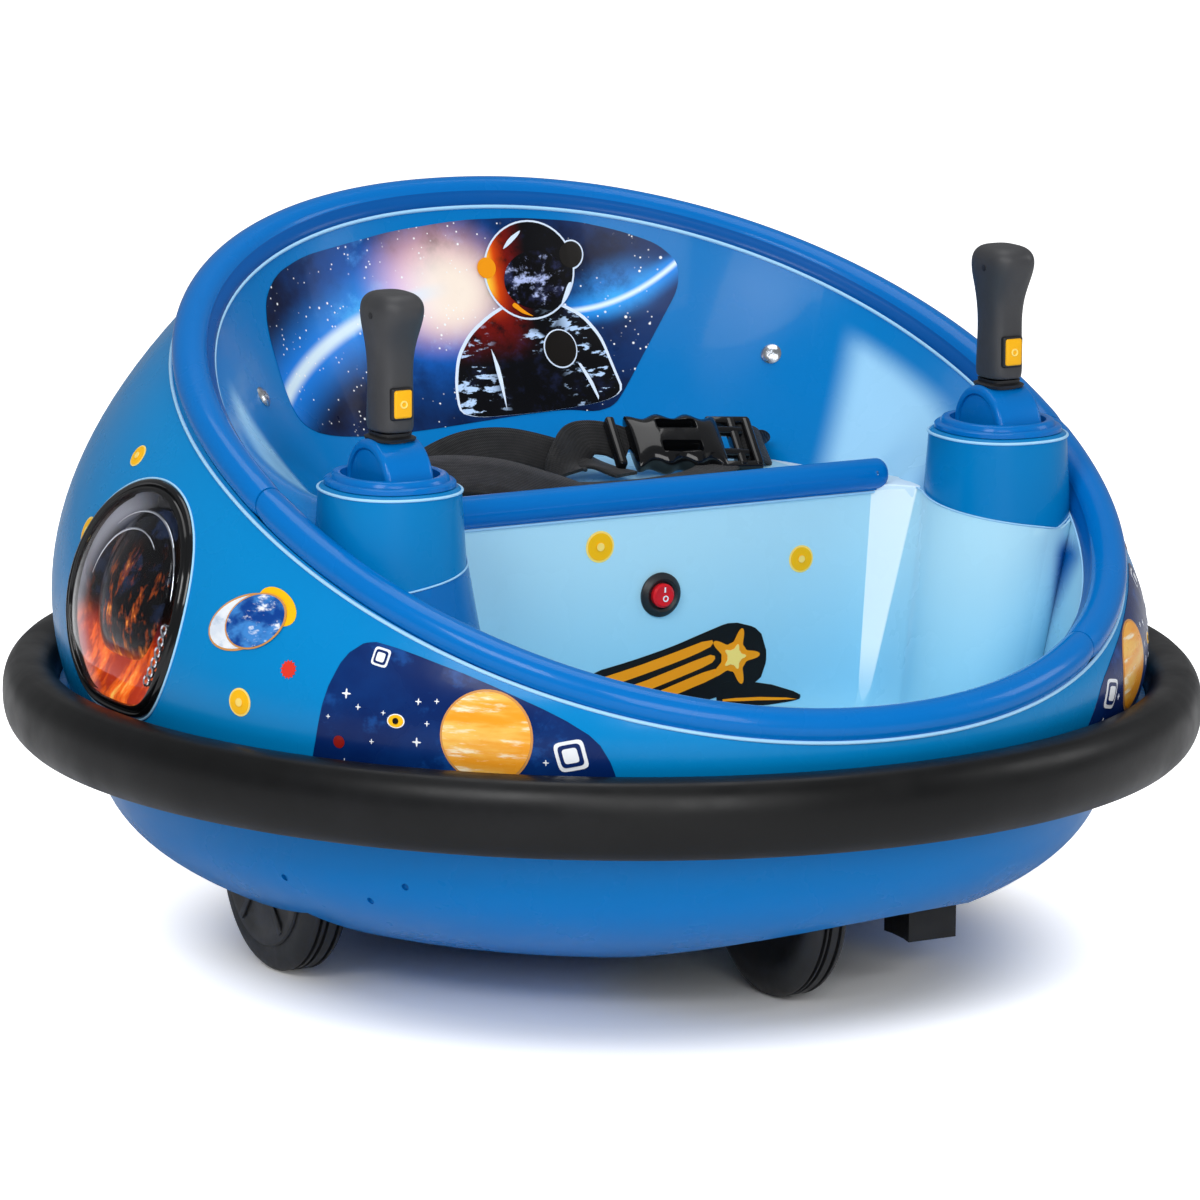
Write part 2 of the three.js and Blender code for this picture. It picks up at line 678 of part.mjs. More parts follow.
// consoles
const deckCutter = linerBand(gap * 1.5, 80, 1.4);
const consoleCutter = deckCutter.add(rollGuard()).add(tub.translate([0, 0, gap]));
for (const [side, sign] of sides) {
  const x = sign * consoleX;
  const tall = consoleZ - deckFrontZ + 20;
  const shell = oval(x, consoleY, consoleZ - tall, consoleZ, consoleHalfX, consoleHalfY, 32,
    consoleFlare);
  const room = oval(x, consoleY, consoleZ - tall - 1, consoleZ - consoleWall,
    consoleHalfX - consoleWall, consoleHalfY - consoleWall, 32, consoleFlare);
  const slot = box(x - rockerHalf - slack / 2, x + rockerHalf + slack / 2,
    consoleY - rockerRadius - slack, consoleY + rockerRadius + slack, consoleZ - 20, consoleZ + 40);
  piece(group, `console_${side}`, largest(shell.subtract(room).subtract(slot)
    .subtract(consoleCutter)), blue);
  const bezelBase = oval(x, consoleY, consoleZ + gap, consoleZ + bezelTall * 0.55,
    consoleHalfX - bezelInset, consoleHalfY - bezelInset);
  const bezelTop = oval(x, consoleY, consoleZ + gap, consoleZ + bezelTall,
    consoleHalfX - bezelInset - bezelStep, consoleHalfY - bezelInset - bezelStep);
  piece(group, `joystick_bezel_${side}`, bezelBase.add(bezelTop).subtract(slot), royal);

  const stick = new THREE.Group();
  stick.position.set(x, consoleY, rockerZ);
  group.add(stick);
  const rocker = turnedX([[-rockerHalf, 0], [-rockerHalf, rockerRadius - 3],
    [-rockerHalf + 3, rockerRadius], [rockerHalf - 3, rockerRadius], [rockerHalf, rockerRadius - 3],
    [rockerHalf, 0]], 32);
  const below = box(-60, 60, -60, 60, -60, -14);
  piece(stick, `joystick_rocker_${side}`, rocker.subtract(below), royal);
  const neckTop = rockerRadius + neckRise;
  const neck = box(-11, 11, -12, 12, 10, neckTop - gap).subtract(turnedX([[-70, 0],
    [-70, rockerRadius + gap], [70, rockerRadius + gap], [70, 0]], 32));
  piece(stick, `joystick_neck_${side}`, neck, blackPlastic);
  const grip = sweep((u) => {
    const angle = u * 2 * Math.PI;
    const row = [at(0, 0, neckTop)];
    // at each share of the grip's height: how wide and deep it is, and how far its middle leans
    for (const [share, wide, deep, lean] of [[0, 0.95, 0.95, 0], [0.03, 1, 1, 0], [0.35, 1, 0.95, 0],
      [0.6, 0.98, 0.95, 0.5], [0.78, 1.05, 1.15, -1], [0.88, 1.1, 1.3, -2], [0.96, 0.95, 1.15, -2.5],
      [0.99, 0.7, 0.85, -2.5], [1, 0.4, 0.5, -2.5]]) {
      row.push(at(signedPower(Math.cos(angle), 0.75) * gripHalfX * wide,
        signedPower(Math.sin(angle), 0.75) * gripHalfY * deep + lean, neckTop + gripTall * share));
    }
    row.push(at(0, -2.5, neckTop + gripTall));
    return row;
  }, 20);
  piece(stick, `joystick_grip_${side}`, grip, greyPlastic);
  const button = box(-5.5, 5.5, -gripHalfY - 3.5, -gripHalfY - gap, neckTop + 9, neckTop + 25);
  piece(stick, `joystick_button_${side}`, button, yellow);
}

// power switch
const facing = (radius, y0, y1, z, x = 0, sidesRound = 32) => {
  const shape = new THREE.CylinderGeometry(radius, radius, y1 - y0, sidesRound);
  shape.translate(x, (y0 + y1) / 2, z);
  return solid(shape);
};
piece(group, 'switch_bezel', facing(switchRadius, seatFrontY - 4, seatFrontY - gap, switchZ)
  .subtract(facing(switchRadius * 0.56, seatFrontY - 10, seatFrontY - 1.6, switchZ)), blackPlastic);
piece(group, 'switch_rocker', facing(switchRadius * 0.56 - gap, seatFrontY - 6,
  seatFrontY - 1.6 - gap, switchZ), red);

// drive wheels, their axles and gearboxes
const tyre = (half) => turnedX([[-half, axleRadius + gap], [-half, wheelRadius - 4],
  [-half + 4, wheelRadius], [-2, wheelRadius], [-1.5, wheelRadius - 2.5], [1.5, wheelRadius - 2.5],
  [2, wheelRadius], [half - 4, wheelRadius], [half, wheelRadius - 4], [half, axleRadius + gap],
  [-half, axleRadius + gap]]);
for (const [side, sign] of sides) {
  const wheel = new THREE.Group();
  wheel.position.set(sign * driveX, driveY, wheelRadius);
  group.add(wheel);
  const half = wheelWide / 2;
  piece(wheel, `drive_wheel_${side}`, tyre(half), blackPlastic);
  const cap = turnedX([[half + gap, 0], [half + gap, wheelRadius - 16], [half + 2, wheelRadius - 18],
    [half + 4, 14], [half + 4, 0]]);
  piece(wheel, `wheel_cap_${side}`, sign > 0 ? cap : cap.mirror([1, 0, 0]), blackPlastic);
  const axle = turnedX([[-half - 6, 0], [-half - 6, axleRadius], [half - 0.1, axleRadius],
    [half - 0.1, 0]], 20);
  piece(wheel, `axle_${side}`, sign > 0 ? axle : axle.mirror([1, 0, 0]), steel);
  const face = driveX - half - 6 - gap;
  const flat = hullBottomZ + hullWall + gap;
  const roof = wheelRadius + gearboxRise;
  const bend = gearboxX + 38;
  const gearbox = slabY([[gearboxX, flat], [bend, flat], [bend + 22, flat + 14], [face, flat + 20],
    [face, roof], [bend, roof], [gearboxX, roof - 20]], driveY - gearboxHalfY, driveY + gearboxHalfY);
  piece(group, `gearbox_${side}`, sign > 0 ? gearbox : gearbox.mirror([1, 0, 0]), blackPlastic);
}

const batteryLow = hullBottomZ + hullWall;
const battery = box(-batteryHalfX, batteryHalfX, batteryFrontY, casterRearY - cupOuter - batteryClear,
  batteryLow + gap, batteryLow + batteryTall);
piece(group, 'battery_block', battery, paint(0x30343a, 0.6));

// casters: cup on the hull, swivelling fork, wheel
const room = hullRoom();
for (const [end, y] of [['front', casterFrontY], ['rear', casterRearY]]) {
  const stemRadius = 8;
  const cup = turnedZ([[stemRadius + slack / 2, cupCeilingZ], [cupRadius, cupCeilingZ],
    [cupRadius, 0], [cupRadius + cupWall, 0], [cupRadius + cupWall, cupTopZ],
    [stemRadius + slack / 2, cupTopZ], [stemRadius + slack / 2, cupCeilingZ]]).translate([0, y, 0]);
  piece(group, `caster_cup_${end}`, cup.intersect(room), blackPlastic);
  const fork = new THREE.Group();
  fork.position.set(0, y, 0);
  group.add(fork);
  const legIn = casterWide / 2 + 3;
  const legOut = legIn + 5;
  const crownTop = cupCeilingZ - slack;
  const crownLow = 2 * wheelRadius + 4;
  let made = oval(0, -casterTrail / 2, crownLow, crownTop, legOut, 26, 28);
  made = made.add(oval(0, 0, crownTop - 2, cupTopZ - 1, stemRadius, undefined, 24));
  for (const sign of [-1, 1]) {
    const xs = [sign * legIn, sign * legOut].sort((a, b) => a - b);
    const leg = new THREE.Shape();
    leg.moveTo(14, crownTop - 1);
    leg.lineTo(-casterTrail + 10, wheelRadius - 2);
    leg.absarc(-casterTrail, wheelRadius, 10, 0, -Math.PI, true);
    leg.lineTo(-casterTrail - 14, crownTop - 1);
    const plate = new THREE.ExtrudeGeometry(leg, { depth: xs[1] - xs[0], bevelEnabled: false,
      curveSegments: 8 });
    plate.rotateX(Math.PI / 2);
    plate.rotateZ(Math.PI / 2);
    plate.translate(xs[0], 0, 0);
    made = made.add(solid(plate));
  }
  const pin = turnedX([[-legOut - 2, 0], [-legOut - 2, axleRadius], [legOut + 2, axleRadius],
    [legOut + 2, 0]], 20);
  made = made.add(pin.translate([0, -casterTrail, wheelRadius]));
  piece(fork, `caster_fork_${end}`, made, steel);
  const wheel = new THREE.Group();
  wheel.position.set(0, -casterTrail, wheelRadius);
  fork.add(wheel);
  piece(wheel, `caster_wheel_${end}`, tyre(casterWide / 2), blackPlastic);
}

// bracket beside the front caster's cup
const cupWrap = oval(0, casterFrontY, 0, cupTopZ, cupOuter + gap);
const bracketBox = box(cupOuter - 10, cupOuter - 4 + bracketWide, casterFrontY - bracketDeep * 0.75,
  casterFrontY + bracketDeep * 0.25, bracketLowZ, bracketTopZ);
piece(group, 'underside_bracket', bracketBox.subtract(cupWrap), blackPlastic);

// harness on the seat
function strap(points, wide, thick) {
  const path = new THREE.CatmullRomCurve3(points.map((point) => at(...point)));
  const steps = 20;
  const row = (t) => {
    const here = path.getPoint(t);
    const along = path.getTangent(t);
    const across = at(-along.y, along.x, 0).normalize();
    const up = across.clone().cross(along).normalize().negate();
    const corner = (a, b) => here.clone().addScaledVector(across, (a * wide) / 2)
      .addScaledVector(up, (b * thick) / 2);
    return [corner(-1, -1), corner(1, -1), corner(1, 1), corner(-1, 1), corner(-1, -1)];
  };
  return capped((u) => row(u), steps);
}
const strapZ = seatTopZ + gap + strapThick / 2 + 0.2;
const buckleLow = seatTopZ + gap;
const buckleAt = (grow) => box(buckleX - buckleHalfX - grow, buckleX + buckleHalfX + grow,
  buckleY - buckleHalfY - grow, buckleY + buckleHalfY + grow, buckleLow - grow, buckleLow + buckleTall);
const band = strap([[-118, 70, strapZ], [-60, 52, strapZ], [0, 66, strapZ], [buckleX, buckleY, strapZ]],
  strapWide, strapThick);
piece(group, 'harness_strap', band.subtract(buckleAt(gap)), webbing);
piece(group, 'harness_buckle', buckleAt(0), blackPlastic);

export default group;
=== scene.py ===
"""Looks of a child's battery bumper car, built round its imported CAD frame.

The shells follow the same curves as the CAD model, in finer steps. Shapes are worked out in
millimetres in the row frame (+Z up, the front of the car towards -Y) and stored in metres.
"""
import json
import math

import bmesh
import bpy
import numpy as np
from mathutils import Matrix, Vector
from mathutils.bvhtree import BVHTree

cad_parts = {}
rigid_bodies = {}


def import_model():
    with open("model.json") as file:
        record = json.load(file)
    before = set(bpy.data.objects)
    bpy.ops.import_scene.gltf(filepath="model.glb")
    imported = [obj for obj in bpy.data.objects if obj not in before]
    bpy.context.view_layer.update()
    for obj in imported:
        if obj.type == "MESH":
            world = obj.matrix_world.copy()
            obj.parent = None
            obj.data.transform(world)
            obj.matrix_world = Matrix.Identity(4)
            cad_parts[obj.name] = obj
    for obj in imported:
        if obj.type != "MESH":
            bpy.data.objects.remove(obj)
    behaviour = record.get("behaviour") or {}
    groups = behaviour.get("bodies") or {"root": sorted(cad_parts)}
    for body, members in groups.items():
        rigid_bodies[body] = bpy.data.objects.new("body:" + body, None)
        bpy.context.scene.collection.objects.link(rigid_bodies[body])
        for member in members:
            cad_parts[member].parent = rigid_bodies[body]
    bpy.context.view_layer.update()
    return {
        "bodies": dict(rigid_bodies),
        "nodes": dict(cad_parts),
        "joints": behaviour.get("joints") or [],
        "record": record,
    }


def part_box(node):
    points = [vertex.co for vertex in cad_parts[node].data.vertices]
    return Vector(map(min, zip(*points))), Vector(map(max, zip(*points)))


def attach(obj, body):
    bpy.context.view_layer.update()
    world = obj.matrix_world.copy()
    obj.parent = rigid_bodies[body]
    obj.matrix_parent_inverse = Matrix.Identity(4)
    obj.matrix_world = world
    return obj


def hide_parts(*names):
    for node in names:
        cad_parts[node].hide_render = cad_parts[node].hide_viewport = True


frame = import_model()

MM = 0.001
TAU = 2 * math.pi
SIDES = (("left", -1), ("right", 1))

# ---- sizes, in millimetres, as in the CAD model ---------------------------------------------
GAP = 0.4
RING_HALF_WIDTH, RING_HALF_LONG = 345, 355
RING_THICK, RING_TALL, RING_Z = 17, 23.5, 143
HULL_INSET, HULL_TOP_Z, HULL_BOTTOM_Z, HULL_DEPTH = 39, 118, 18, 108
HULL_CORE, HULL_POWER, HULL_WALL = 62, 2.52, 4
FLANGE_Z, FLANGE_THICK = 141, 6
BODY_GAP, BODY_WALL, BODY_BULGE, BODY_BULGE_TALL = 6, 4, 0.165, 180
RIM_HALF_WIDTH, RIM_FRONT, RIM_REAR, RIM_CENTRE_Y = 270, 286, 269, -51
RIM_Z, RIM_RISE, RIM_SQUARE = 306.1, 0.4175, 2.083
ROLL_RADIUS, ROLL_LIP, ROLL_LIP_DROP = 10.5, 15, 7
LINER_WALL, LINER_HOLLOW = 4, 10
SEAT_TOP_Z, SEAT_THICK, SEAT_FRONT_Y, SEAT_REAR_Y = 264, 12, -70, 123
WELL_HALF, WELL_CORNER = 168, 20
DECK_FRONT_Y, DECK_REAR_Z, DECK_FRONT_Z = -155, 270, 257
WING_DEGREES, FLOOR_Z, FLOOR_SCALE = 34, 125, 0.86
BOLSTER_RADIUS, BOLSTER_HALF = 9.5, 158
CONSOLE_X, CONSOLE_Y, CONSOLE_Z = 208, -117, 305
CONSOLE_HALF_X, CONSOLE_HALF_Y, CONSOLE_FLARE = 39.5, 42, 4
BEZEL_TALL, BEZEL_INSET = 7.5, 3
ROCKER_RADIUS, ROCKER_HALF, ROCKER_Z = 27, 15.5, 305.5
NECK_Z, GRIP_TALL, GRIP_HALF_X, GRIP_HALF_Y = 336.5, 81.5, 12, 14.5
WHEEL_RADIUS, WHEEL_WIDE, DRIVE_X, DRIVE_Y = 62.5, 28, 229, -25
CASTER_WIDE, CASTER_TRAIL, CASTER_Y, CUP_OUTER = 26, 22, 190, 92.5
OPENING_X, OPENING_HALF, OPENING_TOP_Z = 20, 112, 88
LIGHT_Y, LIGHT_Z, LIGHT_HALF_Y, LIGHT_HALF_Z, LIGHT_TILT = 5, 222, 70, 71, 12
SCREW_DEGREES, SCREW_SHARE, SCREW_RADIUS = 41, 0.41, 6.5
SWITCH_Z, SWITCH_RADIUS = 213, 13.5
BUCKLE_X, BUCKLE_Y = 92, 84


# ---- curves that the shells follow ----------------------------------------------------------
def vec(x, y, z):
    return np.array((x, y, z), float)


def spow(value, power):
    return math.copysign(abs(value) ** power, value)


def unit(v):
    return v / max(np.linalg.norm(v), 1e-9)


def mix(a, b, t):
    return a + (b - a) * t


def smooth(t):
    t = min(1.0, max(0.0, t))
    return t * t * (3 - 2 * t)


def ring_point(a, inset, z):
    return vec((RING_HALF_WIDTH - inset) * math.cos(a), (RING_HALF_LONG - inset) * math.sin(a), z)


def rim_point(a, out=0.0, up=0.0):
    reach = RIM_FRONT if math.sin(a) < 0 else RIM_REAR
    y = spow(math.sin(a), 2 / RIM_SQUARE)
    x = (RIM_HALF_WIDTH + out) * spow(math.cos(a), 2 / RIM_SQUARE)
    return vec(x, RIM_CENTRE_Y + (reach + out) * y, RIM_Z + RIM_RISE * reach * y + up)


def outwards(a):
    return vec(math.cos(a), math.sin(a), 0)


def body_point(a, share, out=0.0):
    """The body's outer skin, from the ring (share 0) to the rim (1)."""
    low = ring_point(a, RING_THICK + BODY_GAP, FLANGE_Z + FLANGE_THICK + GAP)
    side = ROLL_RADIUS * 0.74
    under = math.sqrt(max(0.0, (ROLL_RADIUS + GAP) ** 2 - (side + out) ** 2))
    high = rim_point(a, side, -under)
    tall = high[2] - low[2]
    bulge = BODY_BULGE * tall * (tall / BODY_BULGE_TALL) ** 0.3 * 4 * share * (1 - share)
    return mix(low, high, share) + outwards(a) * (bulge + out)


def liner_top(a):
    return rim_point(a, -ROLL_LIP + 0.5, -ROLL_LIP_DROP - GAP - 0.2)


def deck_z(y):
    share = min(1, max(0, (SEAT_FRONT_Y - y) / (SEAT_FRONT_Y - DECK_FRONT_Y)))
    return mix(DECK_REAR_Z, DECK_FRONT_Z, share)


# the footwell's upper edge runs round the consoles' feet and meets the rim
WELL_RIM_DEGREES = 20.6
PILLAR_X, PILLAR_Y = 44.5, 47


def well_side(t):
    """The footwell's upper edge on the right: t 0 at the seat's corner, 1 where it meets the rim."""
    start = math.radians(156)
    corner = vec(CONSOLE_X + PILLAR_X * math.cos(start), CONSOLE_Y + PILLAR_Y * math.sin(start), 266)
    if t < 0.2:
        return mix(vec(WELL_HALF, SEAT_FRONT_Y - WELL_CORNER, deck_z(SEAT_FRONT_Y - WELL_CORNER)), corner,
                   t / 0.2)
    s = (t - 0.2) / 0.8
    end = liner_top(math.radians(-WELL_RIM_DEGREES))
    turn = math.radians(mix(156, 315.5, s))
    heights = ((0, 266), (0.15, 263), (0.71, 252), (0.84, 249), (1, end[2]))
    z = next(mix(z0, z1, (s - s0) / (s1 - s0)) for (s0, z0), (s1, z1) in zip(heights, heights[1:]) if s <= s1)
    point = vec(CONSOLE_X + PILLAR_X * math.cos(turn), CONSOLE_Y + PILLAR_Y * math.sin(turn), z)
    return point if s < 0.9 else mix(point, end, smooth((s - 0.9) / 0.1))


def liner_foot(a):
    """Where the liner ends: round the seat behind, along the footwell's edge in front."""
    turn = (math.degrees(a) + 180) % 360 - 180
    side = -1 if math.cos(a) < 0 else 1
    half = WELL_HALF + LINER_WALL + GAP
    if turn >= 0:
        x = half * spow(math.cos(a), 0.55)
        y = SEAT_FRONT_Y + (SEAT_REAR_Y - SEAT_FRONT_Y) * abs(math.sin(a)) ** 0.8
        lift = min(1, turn / 12 if turn < 90 else (180 - turn) / 12)
        return vec(x, y, mix(DECK_REAR_Z, SEAT_TOP_Z - SEAT_THICK, lift))
    forward = -turn if turn > -90 else 180 + turn
    point = well_side(min(1.0, forward / WELL_RIM_DEGREES))
    return vec(side * (point[0] + LINER_WALL * 0.3), point[1], point[2])


def liner_skin(a, share, lift=0.0):
    top, foot = liner_top(a), liner_foot(a)
    run = top - foot
    level = max(1e-6, math.hypot(run[0], run[1]))
    away = unit(vec(run[0] / level * run[2], run[1] / level * run[2], -level))
    hollow = LINER_HOLLOW * max(0.0, math.sin(a)) * 4 * share * (1 - share)
    return mix(top, foot, share) + away * (hollow - lift)


# ---- meshes ---------------------------------------------------------------------------------
def shade(mesh, sharp_degrees=32):
    bm = bmesh.new()
    bm.from_mesh(mesh)
    bmesh.ops.recalc_face_normals(bm, faces=bm.faces)
    limit = math.radians(sharp_degrees)
    for face in bm.faces:
        face.smooth = True
    for edge in bm.edges:
        edge.smooth = len(edge.link_faces) == 2 and edge.calc_face_angle(0) < limit
    bm.to_mesh(mesh)
    bm.free()


def make(name, points, faces, material, sharp_degrees=32, weld=0.0):
    """A mesh object from points in millimetres."""
    mesh = bpy.data.meshes.new(name)
    mesh.from_pydata([tuple(float(c) * MM for c in p) for p in points], [], faces)
    if weld:
        bm = bmesh.new()
        bm.from_mesh(mesh)
        bmesh.ops.remove_doubles(bm, verts=bm.verts, dist=weld * MM)
        bm.to_mesh(mesh)
        bm.free()
    shade(mesh, sharp_degrees)
    obj = bpy.data.objects.new(name, mesh)
    bpy.context.scene.collection.objects.link(obj)
    if material:
        mesh.materials.append(material)
    return obj


def grid_faces(rows, columns, wrap_rows, wrap_columns, start=0):
    faces = []
    for i in range(rows if wrap_rows else rows - 1):
        for j in range(columns if wrap_columns else columns - 1):
            a, b = i * columns + j, i * columns + (j + 1) % columns
            c, d = (i + 1) % rows * columns + (j + 1) % columns, (i + 1) % rows * columns + j
            faces.append(tuple(start + k for k in (a, b, c, d)))
    return faces


def loft(name, rows, material, wrap=True, ring=True, caps=False, sharp_degrees=32, weld=0.0):
    """Rows of points joined into a skin; wrap joins the last row to the first, ring each row's ends."""
    columns = len(rows[0])
    points = [p for row in rows for p in row]
    faces = grid_faces(len(rows), columns, wrap, ring)
    if caps:
        faces.append(tuple(range(columns))[::-1])
        faces.append(tuple((len(rows) - 1) * columns + j for j in range(columns)))
    return make(name, points, faces, material, sharp_degrees, weld)


def band(name, outer, inner, material, steps, around=240, start=0.0, end=TAU):
    """A shell between two skins, each a function of angle and share; open when it is not a full turn."""
    full = abs(end - start - TAU) < 1e-6
    count = around if full else around + 1
    rows = []
    for i in range(count):
        a = mix(start, end, i / around)
        rows.append([outer(a, j / steps) for j in range(steps + 1)]
                    + [inner(a, j / steps) for j in range(steps, -1, -1)])
    return loft(name, rows, material, wrap=full, caps=not full)


def apply(obj, kind, **settings):
    modifier = obj.modifiers.new(kind, kind)
    for key, value in settings.items():
        setattr(modifier, key, value)
    bpy.context.view_layer.update()
    graph = bpy.context.evaluated_depsgraph_get()
    mesh = bpy.data.meshes.new_from_object(obj.evaluated_get(graph), depsgraph=graph)
    obj.modifiers.clear()
    old = obj.data
    obj.data = mesh
    bpy.data.meshes.remove(old)
    return obj


def cut(obj, cutter, operation="DIFFERENCE"):
    apply(obj, "BOOLEAN", object=cutter, operation=operation, solver="EXACT")
    bpy.data.objects.remove(cutter)
    shade(obj.data)
    return obj


def bevel(obj, width, segments=3, degrees=30):
    apply(obj, "BEVEL", width=width * MM, segments=segments, limit_method="ANGLE",
          angle_limit=math.radians(degrees), harden_normals=False, use_clamp_overlap=True)
    shade(obj.data, 28)
    return obj


def box(name, low, high, material=None):
    (x0, y0, z0), (x1, y1, z1) = low, high
    ring = [(x0, y0), (x1, y0), (x1, y1), (x0, y1)]
    return loft(name, [[vec(x, y, z0) for x, y in ring], [vec(x, y, z1) for x, y in ring]],
                material, wrap=False, caps=True)


def turned(name, profile, material, axis="X", count=96, centre=(0, 0, 0), sharp_degrees=32):
    """A solid of revolution; the profile lists (along the axis, radius)."""
    rows = []
    for i in range(count):
        c, s = math.cos(i / count * TAU), math.sin(i / count * TAU)
        if axis == "X":
            rows.append([vec(h, r * c, r * s) + vec(*centre) for h, r in profile])
        elif axis == "Y":
            rows.append([vec(r * c, h, r * s) + vec(*centre) for h, r in profile])
        else:
            rows.append([vec(r * c, r * s, h) + vec(*centre) for h, r in profile])
    closed = profile[0][1] > 1e-3 and profile[-1][1] > 1e-3
    return loft(name, rows, material, ring=closed, sharp_degrees=sharp_degrees, weld=0.002)


def moved(obj, matrix):
    obj.data.transform(matrix)
    obj.data.update()
    return obj


def superoval(cx, cy, rx, ry, z, count, power=2.0):
    turns = [i / count * TAU for i in range(count)]
    return [vec(cx + rx * spow(math.cos(t), 2 / power), cy + ry * spow(math.sin(t), 2 / power), z)
            for t in turns]


# ---- materials ------------------------------------------------------------------------------
def linear(code):
    """A '#rrggbb' colour as linear light."""
    values = [int(code[i:i + 2], 16) / 255 for i in (1, 3, 5)]
    return tuple(v / 12.92 if v <= 0.04045 else ((v + 0.055) / 1.055) ** 2.4 for v in values) + (1,)


class Paint:
    """Builds one material's nodes."""

    def __init__(self, name, colour, roughness, **sockets):
        self.material = bpy.data.materials.new(name)
        self.material.use_nodes = True
        self.tree = self.material.node_tree
        self.shader = self.tree.nodes["Principled BSDF"]
        self.shader.inputs["Base Color"].default_value = linear(colour)
        self.shader.inputs["Roughness"].default_value = roughness
        for key, value in sockets.items():
            self.shader.inputs[key.replace("_", " ")].default_value = value
        self.coords = self.add("ShaderNodeTexCoord").outputs["Object"]

    def add(self, kind, links=None, **settings):
        node = self.tree.nodes.new(kind)
        for key, value in settings.items():
            if hasattr(node, key):
                setattr(node, key, value)
            else:
                node.inputs[key.replace("_", " ")].default_value = value
        for key, value in (links or {}).items():
            self.tree.links.new(value, node.inputs[key])
        return node

    def link(self, output, name):
        self.tree.links.new(output, self.shader.inputs[name])
        return self

    def math(self, operation, a, b=0.0, clamp=False):
        node = self.tree.nodes.new("ShaderNodeMath")
        node.operation, node.use_clamp = operation, clamp
        for socket, value in zip(node.inputs, (a, b)):
            if isinstance(value, (int, float)):
                socket.default_value = value
            else:
                self.tree.links.new(value, socket)
        return node.outputs[0]

    def times(self, a, b):
        return self.math("MULTIPLY", a, b)

    def plus(self, a, b):
        return self.math("ADD", a, b)

    def minus(self, a, b):
        return self.math("SUBTRACT", a, b)

    def over(self, a, b):
        return self.math("DIVIDE", a, b)

    def ramp(self, factor, low, high):
        """0 below low, 1 above high, smooth between."""
        node = self.add("ShaderNodeMapRange", {"Value": factor}, interpolation_type="SMOOTHSTEP")
        node.inputs["From Min"].default_value, node.inputs["From Max"].default_value = low, high
        return node.outputs["Result"]

    def blend(self, factor, a, b, mode="MIX"):
        node = self.add("ShaderNodeMix", data_type="RGBA", blend_type=mode)
        for socket, value in ((node.inputs["Factor"], factor), (node.inputs[6], a), (node.inputs[7], b)):
            if isinstance(value, str):
                socket.default_value = linear(value)
            elif isinstance(value, (int, float, tuple)):
                socket.default_value = value
            else:
                self.tree.links.new(value, socket)
        return node.outputs[2]

    def axes(self):
        split = self.add("ShaderNodeSeparateXYZ", {"Vector": self.coords})
        return split.outputs["X"], split.outputs["Y"], split.outputs["Z"]

    def noise(self, scale, detail=3.0, roughness=0.55, vector=None):
        node = self.add("ShaderNodeTexNoise", {"Vector": vector or self.coords})
        node.inputs["Scale"].default_value = scale
        node.inputs["Detail"].default_value = detail
        node.inputs["Roughness"].default_value = roughness
        return node.outputs["Fac"]

    def vary(self, colour, amount, scale=6.0):
        """The base colour, a little lighter and darker in soft clouds."""
        shift = self.math("MULTIPLY", self.math("SUBTRACT", self.noise(scale), 0.5), amount)
        node = self.add("ShaderNodeHueSaturation")
        self.tree.links.new(self.math("ADD", shift, 1.0), node.inputs["Value"])
        if isinstance(colour, str):
            node.inputs["Color"].default_value = linear(colour)
        else:
            self.tree.links.new(colour, node.inputs["Color"])
        return self.link(node.outputs["Color"], "Base Color")

    def rough(self, low, high, scale=40.0):
        node = self.add("ShaderNodeMapRange", {"Value": self.noise(scale, 4)})
        node.inputs["From Min"].default_value, node.inputs["From Max"].default_value = 0.35, 0.65
        node.inputs["To Min"].default_value, node.inputs["To Max"].default_value = low, high
        return self.link(node.outputs["Result"], "Roughness")

    def bump(self, height, strength, distance):
        node = self.add("ShaderNodeBump", {"Height": height}, Strength=strength, Distance=distance)
        return self.link(node.outputs["Normal"], "Normal")


def moulded(name, colour, roughness=0.28, grain=900.0, depth=0.00003, cloud=0.06, coat=0.06, level=0.14):
    """Injection-moulded gloss plastic: faint orange peel, soft colour clouds and rubbed gloss."""
    p = Paint(name, colour, roughness, Coat_Weight=coat, Coat_Roughness=0.06, Specular_IOR_Level=level)
    p.vary(colour, cloud)
    p.rough(roughness - 0.04, roughness + 0.08, 18)
    p.bump(p.noise(grain, 2), 0.25, depth)
    return p


def matte(name, colour, roughness=0.55, grain=1600.0, depth=0.00008, cloud=0.15):
    """Textured black or grey plastic with a fine spark-eroded grain."""
    p = Paint(name, colour, roughness)
    p.vary(colour, cloud, 30)
    p.rough(roughness - 0.07, roughness + 0.1, 60)
    p.bump(p.noise(grain, 3), 0.4, depth)
    return p


def metal(name, colour, roughness=0.25, lines=900.0):
    p = Paint(name, colour, roughness, Metallic=1.0)
    p.vary(colour, 0.15, 60)
    p.rough(roughness - 0.06, roughness + 0.12, 150)
    p.bump(p.noise(lines, 2), 0.15, 0.00003)
    return p


